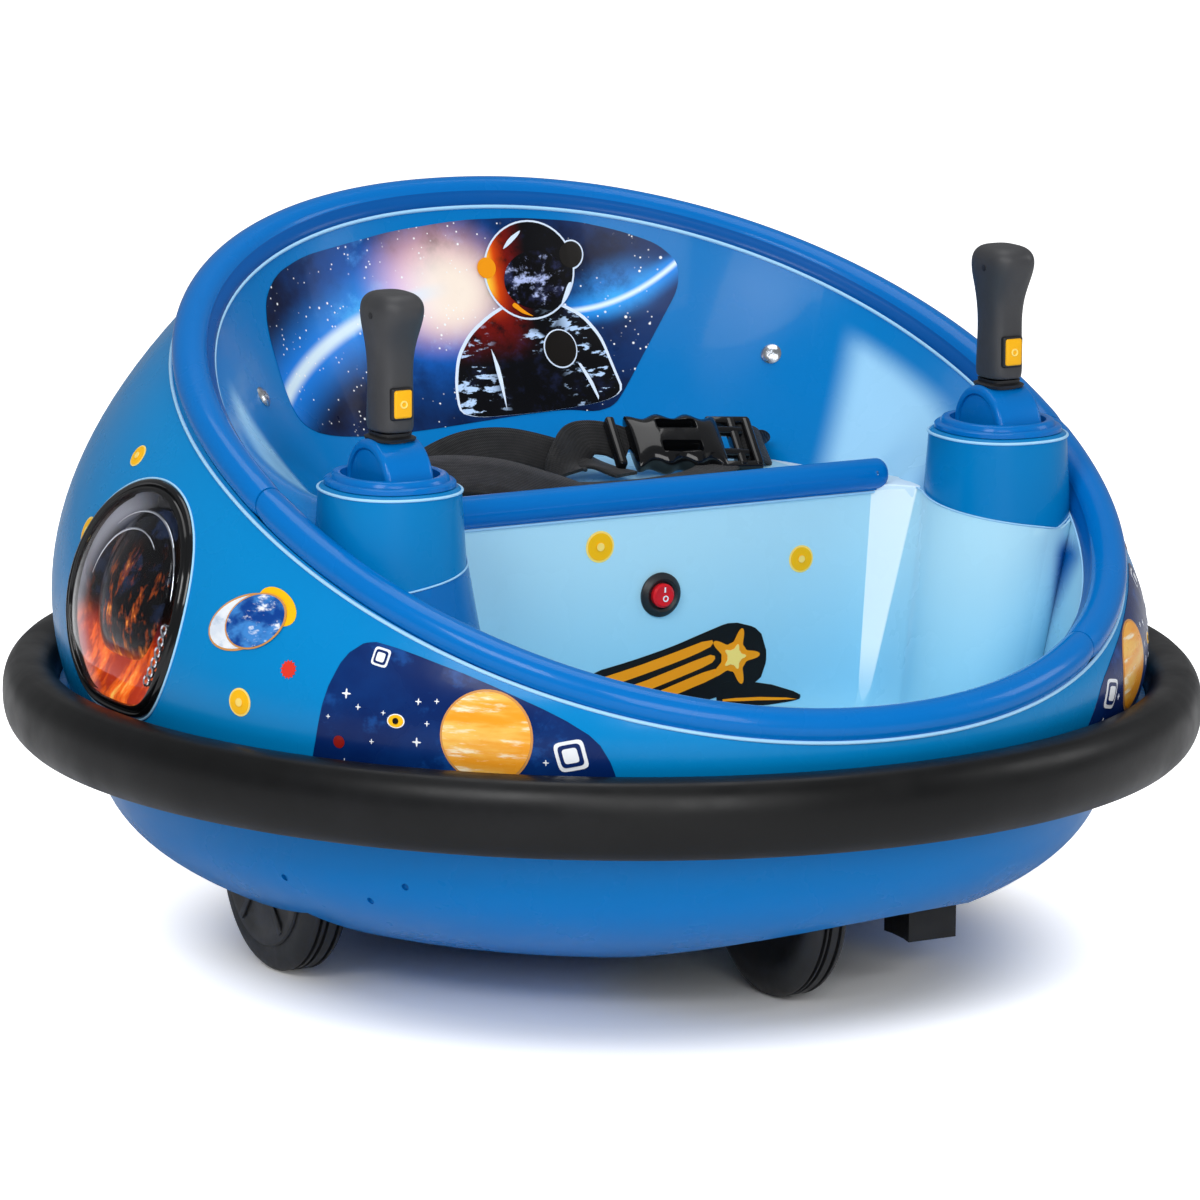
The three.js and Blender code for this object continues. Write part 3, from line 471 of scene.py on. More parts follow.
BODY = moulded("body_blue", "#0083c6", 0.24).material
ROYAL = moulded("trim_royal", "#006dbd", 0.22, coat=0.14, level=0.12).material
# painted shade: a darker blue for the roll's inner flank
FLANK_SHADE = moulded("royal_flank_shade", "#00529c", 0.3).material
# partly piping and partly painted highlight: pale lines laid along edges that catch the light
PIPING_AND_HIGHLIGHT = moulded("pale_piping_and_highlight", "#a4d6f7", 0.25).material
CONSOLE = moulded("console_blue", "#007abb", 0.26).material
HULL = moulded("hull_blue", "#0079c6", 0.28).material
LEDGE = moulded("ledge_pale", "#d3ebfb", 0.3).material
SEAM = moulded("seam_pale", "#9ed0f2", 0.3).material
BLACK_GLOSS = moulded("black_gloss", "#0c0d0f", 0.16, coat=0.5).material
BLACK_MATT = matte("black_matt", "#121316", 0.5).material
GRIP = matte("grip_grey", "#343538", 0.5, 1400).material
YELLOW = moulded("button_yellow", "#f7b51c", 0.3).material
RED = moulded("switch_red", "#d8202a", 0.2).material
SCREW = metal("screw_steel", "#c9ced4", 0.22).material
STEEL = metal("steel", "#8d9299", 0.35).material
WHITE = moulded("print_white", "#f2f6fb", 0.3).material
NAVY = moulded("print_navy", "#06245f", 0.25, cloud=0.25).material
GOLD = moulded("print_gold", "#fdbf14", 0.3).material
PALE_GOLD = moulded("print_pale_gold", "#ffe07a", 0.3).material
REDPRINT = moulded("print_red", "#e0382a", 0.3).material
DARKRED = moulded("print_dark_red", "#8c1712", 0.3).material
TAN = moulded("print_tan", "#cf9352", 0.3).material
INK = moulded("print_ink", "#14110f", 0.3).material
ORANGE = moulded("print_orange", "#f59a12", 0.3).material


def rubber_paint():
    """Satin black rubber with a fine mould texture, a little greyer where hands and walls rub it."""
    p = Paint("bumper_rubber", "#070708", 0.36, Specular_IOR_Level=0.26)
    wear = p.ramp(p.noise(5, 6, 0.7), 0.45, 0.8)
    p.link(p.blend(wear, "#090a0b", "#131417"), "Base Color")
    p.rough(0.34, 0.46, 25)
    p.bump(p.noise(700, 3), 0.35, 0.0001)
    return p.material


RUBBER = rubber_paint()


def liner_paint():
    """The liner: deep blue behind the seat, running softly into pale blue on both side wings. The pale field
    is partly the wings' pale moulding and partly a painted sheen, softly edged into the blue.
    """
    p = moulded("backrest_blue", "#0077c0", 0.24, coat=0.05, level=0.12)
    x, y, z = p.axes()
    side = p.math("ABSOLUTE", x)
    # how far forward of the wings' rear edge a point lies, in metres
    edge = p.plus(p.times(side, 0.86), p.times(y, -0.75))
    edge = p.plus(edge, p.times(z, -0.12))
    # the pale field starts a little below the roll's lip, whose plane climbs towards the rear
    below = p.minus(p.times(p.plus(y, -RIM_CENTRE_Y * MM), RIM_RISE), z)
    below = p.plus(below, (RIM_Z - ROLL_LIP_DROP - 6) * MM)
    # painted sheen: the wings' pale field, partly their own pale moulding, with a soft painted edge into the
    # blue
    pale = p.times(p.ramp(edge, 0.084, 0.112), p.ramp(below, 0.001, 0.016))
    colour = p.blend(pale, "#0077c0", "#9bd1f4")
    p.vary(colour, 0.05)
    return p.material


def tub_paint():
    """The footwell: pale blue, with painted shade darkening it towards the floor and a painted highlight on
    the crease beside the seat's front; bluer round the left pillar and in the recess beyond each console,
    where the deeper blue is partly the liner's blue flank and partly painted shade.
    """
    p = moulded("liner_pale", "#a9d8f6", 0.26)
    x, y, z = p.axes()

    def near(cx, cy, wide, long):
        dx = p.over(p.minus(x, cx * MM), wide * MM)
        dy = p.over(p.minus(y, cy * MM), long * MM)
        return p.math("SQRT", p.plus(p.times(dx, dx), p.times(dy, dy)))

    pillar = p.times(p.ramp(near(-CONSOLE_X, CONSOLE_Y, 66, 72), 1.06, 0.98), p.ramp(x, -0.15, -0.158))
    side = p.math("ABSOLUTE", x)
    # painted shade: the recess beyond each console, a deeper blue that is partly the liner's blue flank and
    # partly painted shade
    recess = p.times(p.ramp(side, 0.218, 0.232), p.ramp(y, -0.25, -0.232))
    recess = p.times(recess, p.times(p.ramp(z, 0.248, 0.232), p.ramp(z, 0.17, 0.185)))
    # painted shade: the footwell darker towards the floor, paler towards its top edge
    colour = p.blend(p.ramp(z, 0.14, 0.25), "#8ccde9", "#b2e1f4")
    # painted highlight: the bright crease between the seat's front and each side, painted near white,
    # tapering to a point below
    share = p.over(p.minus(z, FLOOR_Z * MM), (SEAT_TOP_Z - FLOOR_Z) * MM)
    left = p.minus(side, p.plus(p.times(share, 0.008), 0.140))
    right = p.minus(p.plus(p.times(share, 0.0245), 0.1435), side)
    rear = p.plus(y, p.plus(p.times(share, 0.016), 0.074))
    fold_highlight = p.times(p.ramp(left, -0.0003, 0.0003), p.ramp(right, -0.0006, 0.001))
    fold_highlight = p.times(fold_highlight, p.times(p.ramp(rear, -0.0012, 0.0002), p.ramp(share, 0.0, 0.35)))
    colour = p.blend(fold_highlight, colour, "#e8f8fc")
    # the left pillar's blue is its own colour; the recess's blue is partly painted shade
    colour = p.blend(p.math("MAXIMUM", pillar, recess), colour, "#0a6cb6")
    p.vary(colour, 0.04)
    return p.material


TUB = tub_paint()
LINER = liner_paint()

# ---- camera, light and floor ----------------------------------------------------------------
CAMERA_AT = Vector((-2.0195, -3.5401, 1.0151))
CAMERA_AIM = Vector((0.4856, 0.8518, -0.1968))
CAMERA_ROLL = math.radians(0.527)
CAMERA_LENS, CAMERA_SENSOR = 205.0, 36.0


def camera():
    data = bpy.data.cameras.new("camera")
    data.lens, data.sensor_width = CAMERA_LENS, CAMERA_SENSOR
    data.clip_start, data.clip_end = 0.1, 100
    obj = bpy.data.objects.new("camera", data)
    bpy.context.scene.collection.objects.link(obj)
    back = -CAMERA_AIM.normalized()
    right = CAMERA_AIM.cross(Vector((0, 0, 1))).normalized()
    up = right.cross(CAMERA_AIM).normalized()
    turned_right = right * math.cos(CAMERA_ROLL) + up * math.sin(CAMERA_ROLL)
    turned_up = up * math.cos(CAMERA_ROLL) - right * math.sin(CAMERA_ROLL)
    turn = Matrix((turned_right, turned_up, back)).transposed().to_4x4()
    obj.matrix_world = Matrix.Translation(CAMERA_AT) @ turn
    bpy.context.scene.camera = obj


def lamp(name, place, aim, size, power, size_y=None):
    data = bpy.data.lights.new(name, "AREA")
    data.energy, data.size = power, size
    if size_y:
        data.shape, data.size_y = "RECTANGLE", size_y
    obj = bpy.data.objects.new(name, data)
    bpy.context.scene.collection.objects.link(obj)
    obj.location = place
    obj.rotation_euler = (Vector(aim) - Vector(place)).to_track_quat("-Z", "Y").to_euler()


def studio():
    scene = bpy.context.scene
    scene.view_settings.view_transform = "Standard"
    world = bpy.data.worlds.new("studio")
    scene.world = world
    world.use_nodes = True
    tree = world.node_tree
    background = tree.nodes["Background"]
    background.inputs["Color"].default_value = (0.97, 0.98, 1, 1)
    background.inputs["Strength"].default_value = 0.28
    lamp("key", (-2.1, -1.5, 2.0), (0, 0, 0.2), 1.1, 34)
    lamp("top", (0.1, 0.3, 2.7), (0, 0, 0.2), 1.8, 24)
    lamp("front", (-1.0, -3.3, 1.7), (0, 0, 0.2), 1.8, 52)
    lamp("side", (2.6, -1.2, 1.5), (0, 0, 0.25), 1.0, 13)
    floor = make("floor", [vec(-30000, -30000, 0), vec(30000, -30000, 0), vec(30000, 30000, 0),
                           vec(-30000, 30000, 0)], [(0, 1, 2, 3)], None)
    floor.location.z = -0.0005
    p = Paint("floor_white", "#ffffff", 0.6, Specular_IOR_Level=0.2)
    p.vary("#fdfdfe", 0.01, 1)
    path = p.add("ShaderNodeLightPath")
    # away from the car the floor glows white, so that only the car's own shadow shows on it
    x, y, _ = p.axes()
    x, y = p.plus(x, 0.02), p.plus(y, 0.07)
    away = p.math("SQRT", p.plus(p.times(x, x), p.times(y, y)))
    glow = p.add("ShaderNodeEmission")
    p.tree.links.new(p.ramp(away, 0.19, 0.33), glow.inputs["Strength"])
    mixed = p.add("ShaderNodeAddShader")
    p.tree.links.new(p.shader.outputs[0], mixed.inputs[0])
    camera_only = p.add("ShaderNodeMixShader", {"Fac": path.outputs["Is Camera Ray"]})
    p.tree.links.new(p.shader.outputs[0], camera_only.inputs[1])
    p.tree.links.new(glow.outputs[0], mixed.inputs[1])
    p.tree.links.new(mixed.outputs[0], camera_only.inputs[2])
    p.tree.links.new(camera_only.outputs[0], p.tree.nodes["Material Output"].inputs["Surface"])
    floor.data.materials.append(p.material)


camera()
studio()


def place(obj, body, slot, *nodes):
    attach(obj, body)
    if nodes:
        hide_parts(*nodes)
    return obj


# ---- bumper ring and hull -------------------------------------------------------------------
def bumper_ring():
    """The soft bumper: a fat rounded section with two raised mould lines."""
    count, rows = 56, []
    for i in range(288):
        a, row = i / 288 * TAU, []
        for j in range(count):
            t = j / count * TAU
            ridge = 0.7 * math.exp(-((t - math.radians(62)) / 0.045) ** 2)
            ridge += 0.7 * math.exp(-((t - math.radians(298)) / 0.045) ** 2)
            across = spow(math.cos(t), 0.85) * (RING_THICK + ridge)
            row.append(ring_point(a, -across, RING_Z + spow(math.sin(t), 0.85) * (RING_TALL + ridge)))
        rows.append(row)
    place(loft("bumper_ring_skin", rows, RUBBER), "car", "bumper_rubber", "bumper_ring")


def hull_point(a, share, wall):
    edge = ring_point(a, HULL_INSET + wall, 0)
    core = outwards(a) * HULL_CORE
    point = mix(core, edge, math.sqrt(max(0.0, 1 - share**HULL_POWER)))
    point[2] = HULL_TOP_Z - HULL_DEPTH * share + wall * share
    return point


def lower_hull():
    flat = (HULL_TOP_Z - HULL_BOTTOM_Z) / HULL_DEPTH
    steps, rows = 26, []
    for i in range(240):
        a = i / 240 * TAU
        row = [vec(0, 0, HULL_BOTTOM_Z)]
        row += [hull_point(a, flat * j / steps, 0) for j in range(steps, -1, -1)]
        row.append(ring_point(a, HULL_INSET - 6, FLANGE_Z))
        row.append(ring_point(a, RING_THICK + GAP, FLANGE_Z))
        row.append(ring_point(a, RING_THICK + GAP, FLANGE_Z + FLANGE_THICK))
        row.append(ring_point(a, HULL_INSET - 2, FLANGE_Z + FLANGE_THICK))
        row += [hull_point(a, flat * j / steps, HULL_WALL) for j in range(steps + 1)]
        row.append(vec(0, 0, HULL_BOTTOM_Z + HULL_WALL))
        rows.append(row)
    hull = loft("hull_shell", rows, HULL, ring=False, weld=0.01)
    for _, sign in SIDES:
        low, high = sorted((sign * (DRIVE_X - WHEEL_WIDE / 2 - 6), sign * (DRIVE_X + WHEEL_WIDE / 2 + 6)))
        cut(hull, box("cutter", (low, DRIVE_Y - WHEEL_RADIUS - 6, -5),
                      (high, DRIVE_Y + WHEEL_RADIUS + 6, 90)))
    front = [superoval(OPENING_X, -CASTER_Y, OPENING_HALF, CUP_OUTER + GAP, z, 72)
             for z in (-5, OPENING_TOP_Z)]
    rear = [superoval(0, CASTER_Y, CUP_OUTER + GAP, CUP_OUTER + GAP, z, 72)
            for z in (-5, OPENING_TOP_Z)]
    for rows in (front, rear):
        cut(hull, loft("cutter", rows, None, wrap=False, caps=True))
    # small screw holes drilled in both flanks
    for _, sign in SIDES:
        for turn, share in ((-38, 0.3), (-33, 0.42), (-22, 0.36)):
            a = math.radians(turn if sign > 0 else 180 - turn)
            centre = hull_point(a, share, 0)
            drill = turned("cutter", [(-3, 0), (-3, 2.2), (3, 2.2), (3, 0)], None, "X", 20)
            drill.data.transform(Matrix.Translation(Vector(centre) * MM) @ Matrix.Rotation(a, 4, "Z"))
            cut(hull, drill)
    place(hull, "car", "hull_blue", "lower_hull")


# ---- upper body, its lights and its prints --------------------------------------------------
def light_frame(sign):
    """The light's own frame: x down the body, y along it, z out of it."""
    angle = math.asin(LIGHT_Y / (RING_HALF_LONG - RING_THICK))
    turn = angle if sign > 0 else math.pi - angle
    spin = Matrix.Rotation(turn, 4, "Z") @ Matrix.Rotation(math.pi / 2 - math.radians(LIGHT_TILT), 4, "Y")
    where = Vector((body_point(turn, 0.45)[0], LIGHT_Y, LIGHT_Z)) * MM
    return Matrix.Translation(where) @ spin


LIGHT_CLIP = 62.0  # how far below its middle a light is cut off, along the bumper
LIGHT_BEZEL = 7.5


def light_edge(t, inset):
    """The light's outline: an oval cut off straight along the bumper, with round corners."""
    up = max(0.0, -math.cos(t))
    round_part = 1 / math.hypot(up / (LIGHT_HALF_Z + 6 - inset),
                                math.sqrt(1 - up * up) / (LIGHT_HALF_Y - inset))
    if math.cos(t) <= 0.05:
        return round_part
    flat_part = (LIGHT_CLIP - inset) / math.cos(t)
    return (round_part**-16 + flat_part**-16) ** (-1 / 16)


class Skin:
    """Finds where a straight line meets a surface, for whatever is laid on it."""

    def __init__(self, obj):
        points = [v.co.copy() for v in obj.data.vertices]
        self.tree = BVHTree.FromPolygons(points, [tuple(p.vertices) for p in obj.data.polygons])

    def drop(self, frame, u, v, high=0.08):
        """The first hit below (u, v) of a frame whose z axis points out; all in metres."""
        start = frame @ Vector((u, v, high))
        down = -(frame.to_3x3() @ Vector((0, 0, 1)))
        hit = self.tree.ray_cast(start, down, 0.4)[0]
        return high - (hit - start).length if hit else None

    def frame(self, point):
        """A frame on the surface level with a point in mm: x level to the viewer's right, z out."""
        inwards = unit(vec(-point[0], -point[1], 0))
        here, out = self.tree.ray_cast(Vector(point - inwards * 60) * MM, Vector(inwards), 0.2)[:2]
        return flat_frame(vec(*here) / MM, np.cross(vec(0, 0, 1), out), out)


def sheet(name, verts, rings, count, frame, material, sharp_degrees):
    """A closed sheet of two round grids of points, (rings + 1) x count each, sewn along the rim."""
    size = (rings + 1) * count
    faces = []
    for k in range(rings):
        for i in range(count):
            a, b = k * count + i, k * count + (i + 1) % count
            c, d = a + count, b + count
            faces.append((a, c, d, b))
            faces.append((size + a, size + b, size + d, size + c))
    rim = rings * count
    faces += [(rim + i, size + rim + i, size + rim + (i + 1) % count, rim + (i + 1) % count)
              for i in range(count)]
    faces += [tuple(range(count)), tuple(size + i for i in range(count))[::-1]]
    mesh = bpy.data.meshes.new(name)
    mesh.from_pydata(verts, [], faces)
    shade(mesh, sharp_degrees)
    mesh.materials.append(material)
    obj = bpy.data.objects.new(name, mesh)
    bpy.context.scene.collection.objects.link(obj)
    obj.matrix_world = frame
    return obj


def drape(name, skin, frame, outline, material, lift=0.35, rings=14, count=120, centre=(0, 0),
          thick=0.25, crown=0.0):
    """A thin closed sheet laid on a surface; outline(t) gives its radius in mm round the centre.
    Its mesh stays in its own frame, so that object coordinates run across it."""
    def point(i, share):
        t = i / count * TAU
        r = outline(t) * share
        u, v = (centre[0] + r * math.cos(t)) * MM, (centre[1] + r * math.sin(t)) * MM
        return u, v, skin.drop(frame, u, v)

    verts, level = [], {}
    last = 0.0
    for k in range(rings + 1):
        for i in range(count):
            u, v, w = point(i, max(k, 0.02) / rings)
            last = w = last if w is None else w
            level[k, i] = (u, v, w)
    for above in (True, False):
        for k in range(rings + 1):
            share = k / rings
            for i in range(count):
                u, v, w = level[k, i]
                rise = lift + crown * (1 - share * share) if above else lift - thick
                verts.append((u, v, w + rise * MM))
    return sheet(name, verts, rings, count, frame, material, 40)


def body_shell():
    body = band("body_shell", body_point, lambda a, s: body_point(a, s, -BODY_WALL), BODY, 26, 288)
    skin = Skin(body)
    for _, sign in SIDES:
        frame = light_frame(sign)
        rows = [[Vector((light_edge(t / 96 * TAU, LIGHT_BEZEL - 1) * math.cos(t / 96 * TAU),
                         light_edge(t / 96 * TAU, LIGHT_BEZEL - 1) * math.sin(t / 96 * TAU), z))
                 for t in range(96)] for z in (-45, 60)]
        cutter = loft("cutter", [[np.array(p) for p in row] for row in rows], None, wrap=False, caps=True)
        cutter.data.transform(frame)
        cut(body, cutter)
    place(body, "car", "body_blue", "upper_body")
    return skin


def tube_rows(path, sides, radius, closed=False):
    """Round sections along a path; radius(i) gives the radius of each, in mm."""
    rows, last = [], len(path) - 1
    for i, point in enumerate(path):
        before, after = (i - 1, (i + 1) % (last + 1)) if closed else (max(i - 1, 0), min(i + 1, last))
        along = unit(path[after] - path[before])
        across = unit(np.cross(along, vec(0, 0, 1)))
        up = np.cross(across, along)
        thick = radius(i)
        rows.append([point + (across * math.cos(k / sides * TAU) + up * math.sin(k / sides * TAU)) * thick
                     for k in range(sides)])
    return rows


def edge_bead(name, path, radius, material, body="car", slot="trim_royal"):
    """A thin round bead along a closed path."""
    rows = tube_rows(path, 10, lambda i: radius, closed=True)
    return place(loft(name, rows, material, sharp_degrees=80), body, slot)


def rim():
    """The moulded roll in three lengths; its inner flank is painted a darker blue as painted shade, and the
    pale lips beside it are partly piping and partly painted highlight.
    """
    profile = [(math.cos(math.radians(t)) * ROLL_RADIUS, math.sin(math.radians(t)) * ROLL_RADIUS)
               for t in range(-75, 166, 8)]
    flank = [(-11.6, 0.6), (-13.6, -1.2), (-14.4, -3.4), (-ROLL_LIP, -5.4), (-14.2, -ROLL_LIP_DROP),
             (-6, -ROLL_LIP_DROP - 0.2)]
    outline = profile + flank

    def length(name, start, end, node):
        count = max(24, int(240 * (end - start) / 360))
        half = 0.12
        rows = []
        for i in range(count + 1):
            a = math.radians(mix(start + half, end - half, i / count))
            rows.append([rim_point(a, out, up) for out, up in outline])
        # the ends turn in a little, so that each joint shows as a fine groove
        for row, shrink in ((rows[0], 0.93), (rows[-1], 0.93)):
            centre = sum(row) / len(row)
            row[:] = [centre + (p - centre) * shrink for p in row]
        obj = loft(name, rows, ROYAL, wrap=False, caps=True, sharp_degrees=50)
        obj.data.materials.append(FLANK_SHADE)
        # painted shade: the flank's faces take the darker blue
        first = len(profile)
        for polygon in obj.data.polygons[:count * len(outline)]:
            if polygon.index % len(outline) >= first - 1:
                polygon.material_index = 1
        place(obj, "car", "trim_royal", node)

    length("rim_rear", -6, 186, "rim_roll_rear")
    length("rim_front", 186, 304, "rim_roll_front")
    length("rim_side", 304, 354, "rim_roll_side")
    steps = [i / 288 * TAU for i in range(288)]
    # pale lines along the liner's top and the body's top edge: partly piping and partly painted highlight
    edge_bead("lip_line_inner", [liner_top(a) + vec(0, 0, 0.6) for a in steps], 1.3, PIPING_AND_HIGHLIGHT)
    edge_bead("lip_line_outer", [body_point(a, 0.985, 0.4) for a in steps], 1.15, PIPING_AND_HIGHLIGHT)


# ---- liner, seat and footwell ---------------------------------------------------------------
def liner():
    def outer(a, s):
        return liner_skin(a, s)

    def inner(a, s):
        return liner_skin(a, s, -LINER_WALL * 0.8)

    backs = (("backrest", WING_DEGREES, 180 - WING_DEGREES, "backrest_shell", "backrest_blue"),
             ("wing_right", -WELL_RIM_DEGREES, WING_DEGREES, "side_wing_right", "liner_pale"),
             ("wing_left", 180 - WING_DEGREES, 180 + WELL_RIM_DEGREES, "side_wing_left", "liner_pale"))
    skins = []
    for name, start, end, node, slot in backs:
        around = int(240 * (end - start) / 360)
        obj = band(name, outer, inner, LINER, 18, around, math.radians(start), math.radians(end))
        skins.append(place(obj, "car", slot, node))
    return Skin(skins[0])


def well_stations():
    """Pairs of (upper edge, lower edge) points round the footwell, anticlockwise from its middle."""
    right = []
    inner = WELL_HALF - WELL_CORNER
    low_half, low_z = 143.0, FLOOR_Z
    for i in range(24):
        s = i / 24
        right.append((vec(inner * s, SEAT_FRONT_Y, SEAT_TOP_Z), vec((low_half - 3) * s, SEAT_FRONT_Y, low_z)))
    for i in range(5):
        s = i / 5
        top = vec(mix(inner, WELL_HALF, s), mix(SEAT_FRONT_Y, SEAT_FRONT_Y - WELL_CORNER, s),
                  mix(SEAT_TOP_Z, deck_z(SEAT_FRONT_Y - WELL_CORNER), s))
        right.append((top, vec(low_half - 3 + 3 * s, SEAT_FRONT_Y - 4 * s, low_z)))
    centre = vec(0, (SEAT_FRONT_Y + RIM_CENTRE_Y - RIM_FRONT) / 2, 0)
    for i in range(49):
        top = well_side(i / 48)
        low = centre + (top - centre) * FLOOR_SCALE
        blend = smooth(i / 14)
        low = mix(vec(low_half, mix(SEAT_FRONT_Y - 4, -118, i / 14), 0), low, blend)
        low[2] = low_z
        right.append((top, low))
    for i in range(1, 61):
        top = liner_top(math.radians(mix(-WELL_RIM_DEGREES, -90, i / 60)))
        low = centre + (top - centre) * FLOOR_SCALE
        low[2] = low_z
        right.append((top, low))
    flip = np.array((-1, 1, 1))
    return right + [(t * flip, b * flip) for t, b in right[1:-1][::-1]]


def footwell():
    stations = well_stations()
    centre = vec(0, -200, FLOOR_Z)
    fillet = 24.0

    # the floor is a fan about its centre, so its spokes have to keep turning the same way
    spokes = np.unwrap([math.atan2(low[1] - centre[1], low[0] - centre[0]) for _, low in stations])
    spokes = (np.maximum if spokes[-1] > spokes[0] else np.minimum).accumulate(spokes)

    def column(top, low, wall, spoke):
        away = unit(vec(top[0] - centre[0], top[1] - centre[1], 0))
        if abs(top[1] - SEAT_FRONT_Y) < 0.5:
            away = vec(0, 1, 0)
        top, low = top + away * wall, low + away * wall
        drop = vec(0, 0, -wall)
        foot = mix(low, top, fillet / (top[2] - low[2]))
        points = [mix(top, foot, j / 16) for j in range(17)]
        reach = math.hypot(low[0] - centre[0], low[1] - centre[1]) - fillet
        end = centre + vec(math.cos(spoke), math.sin(spoke), 0) * reach + drop
        for j in range(1, 7):
            s = j / 6
            corner = low + drop
            points.append((1 - s) ** 2 * foot + 2 * s * (1 - s) * corner + s * s * end)
        points += [mix(end, centre + drop, j / 6) for j in range(1, 7)]
        return points

    rows = []
    for (top, low), spoke in zip(stations, spokes):
        inside = column(top, low, 0, spoke)
        outside = column(top, low, LINER_WALL, spoke)
        rows.append(inside[::-1] + outside)
    tub = loft("footwell", rows, TUB, ring=False, sharp_degrees=38, weld=0.01)
    place(tub, "car", "liner_pale", "footwell_tub")
    caster_hump()
    return Skin(tub)


def caster_hump():
    """The low round hump in the floor, over the front caster's cup."""
    inner, top = CUP_OUTER + GAP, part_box("caster_cup_front")[1][2] / MM + GAP
    outer, crown = inner + LINER_WALL, top + LINER_WALL
    profile = [(top, 0), (top, inner), (FLOOR_Z - 1, inner), (FLOOR_Z - 1, outer + 9),
               (FLOOR_Z + 0.4, outer + 8), (FLOOR_Z + 1.6, outer + 3.4), (FLOOR_Z + 4.5, outer + 0.5),
               (crown - 5, outer - 0.6), (crown - 1.6, outer - 2), (crown, outer - 5.5), (crown, 0)]
    hump = turned("caster_hump", profile, TUB, "Z", 96)
    hump.data.transform(Matrix.Translation(Vector((0, -CASTER_Y, 0)) * MM))
    place(hump, "car", "liner_pale", "footwell_tub")


def seat():
    outline = []
    for i in range(97):
        foot = liner_foot(math.pi * i / 96)
        shrink = 1 - 5 / max(1, math.hypot(foot[0], foot[1] - 20))
        outline.append(vec(foot[0] * shrink, max(foot[1] * shrink, SEAT_FRONT_Y + LINER_WALL + GAP), 0))
    rows = [[p + vec(0, 0, z) for p in outline] for z in (SEAT_TOP_Z - SEAT_THICK, SEAT_TOP_Z)]
    pan = loft("seat", rows, TUB, wrap=False, caps=True, weld=0.01)
    place(bevel(pan, 2.0, 2), "car", "liner_pale", "seat_pan")


def bolster():
    """The rounded front edge of the seat, with closed round ends and a small end screw."""
    profile = [(-BOLSTER_HALF, 0.0)]
    for i in range(1, 8):
        t = i / 7 * math.pi / 2
        profile.append((-BOLSTER_HALF + 6 * (1 - math.cos(t)), BOLSTER_RADIUS - 6 + 6 * math.sin(t)))
    profile += [(x, BOLSTER_RADIUS) for x in np.linspace(-BOLSTER_HALF + 8, BOLSTER_HALF - 8, 40)]
    profile += [(-x, r) for x, r in profile[7::-1]]
    centre = (0, SEAT_FRONT_Y + LINER_WALL / 2, SEAT_TOP_Z + BOLSTER_RADIUS + GAP)
    tube = turned("bolster", profile, ROYAL, "X", 48, centre)
    foot = box("foot", (-BOLSTER_HALF + 3, SEAT_FRONT_Y - 1.5, SEAT_TOP_Z + GAP),
               (BOLSTER_HALF - 3, SEAT_FRONT_Y + 7, SEAT_TOP_Z + BOLSTER_RADIUS), ROYAL)
    tube = cut(tube, foot, "UNION")
    place(tube, "car", "trim_royal", "seat_bolster")
    stud = turned("bolster_screw", [(0, 0), (0, 1.5), (0.6, 1.4), (0.9, 0)], SCREW, "X", 20,
                  (BOLSTER_HALF - 11, centre[1] - 9.2, centre[2] + 2))
    place(stud, "car", "screw_steel")
    line = box("bolster_line", (-BOLSTER_HALF + 2, SEAT_FRONT_Y - 1.7, SEAT_TOP_Z - 1.4),
               (BOLSTER_HALF - 2, SEAT_FRONT_Y - 0.2, SEAT_TOP_Z + 0.1), PIPING_AND_HIGHLIGHT)
    place(bevel(line, 0.5, 2), "car", "liner_pale")


def ledges():
    """The pale shelf between the seat's front edge and each console."""
    for side, sign in SIDES:
        outline = [(118, -64), (150, -70.5), (167, -89.5), (171.5, -90), (176, -60), (166, -20), (118, -20)]
        rows = [[vec(x * sign, y, z) for x, y in outline] for z in (260, 268.5)]
        place(bevel(loft(f"ledge_{side}", rows, LEDGE, wrap=False, caps=True), 1.5, 3), "car", "liner_pale")
        edge = [well_side(t) + vec(0, 0, 0.5) for t in np.linspace(0, 1, 90)]
        tube = [[p * vec(sign, 1, 1) for p in row] for row in tube_rows(edge, 10, lambda i: 0.6)]
        line = loft(f"well_line_{side}", tube, SEAM, wrap=False, caps=True, sharp_degrees=80)
        place(line, "car", "liner_pale")


# ---- consoles and joysticks -----------------------------------------------------------------
def rounded_drum(half, radius, soft, count=72):
    """A drum along X with soft edges, about the origin."""
    arc = [(half - soft + soft * math.sin(t), radius - soft + soft * math.cos(t))
           for t in np.linspace(0, math.pi / 2, 7)]
    profile = [(-half, 0.0)] + [(-x, r) for x, r in arc[::-1]] + arc + [(half, 0.0)]
    return turned("drum", profile, ROYAL, "X", count)


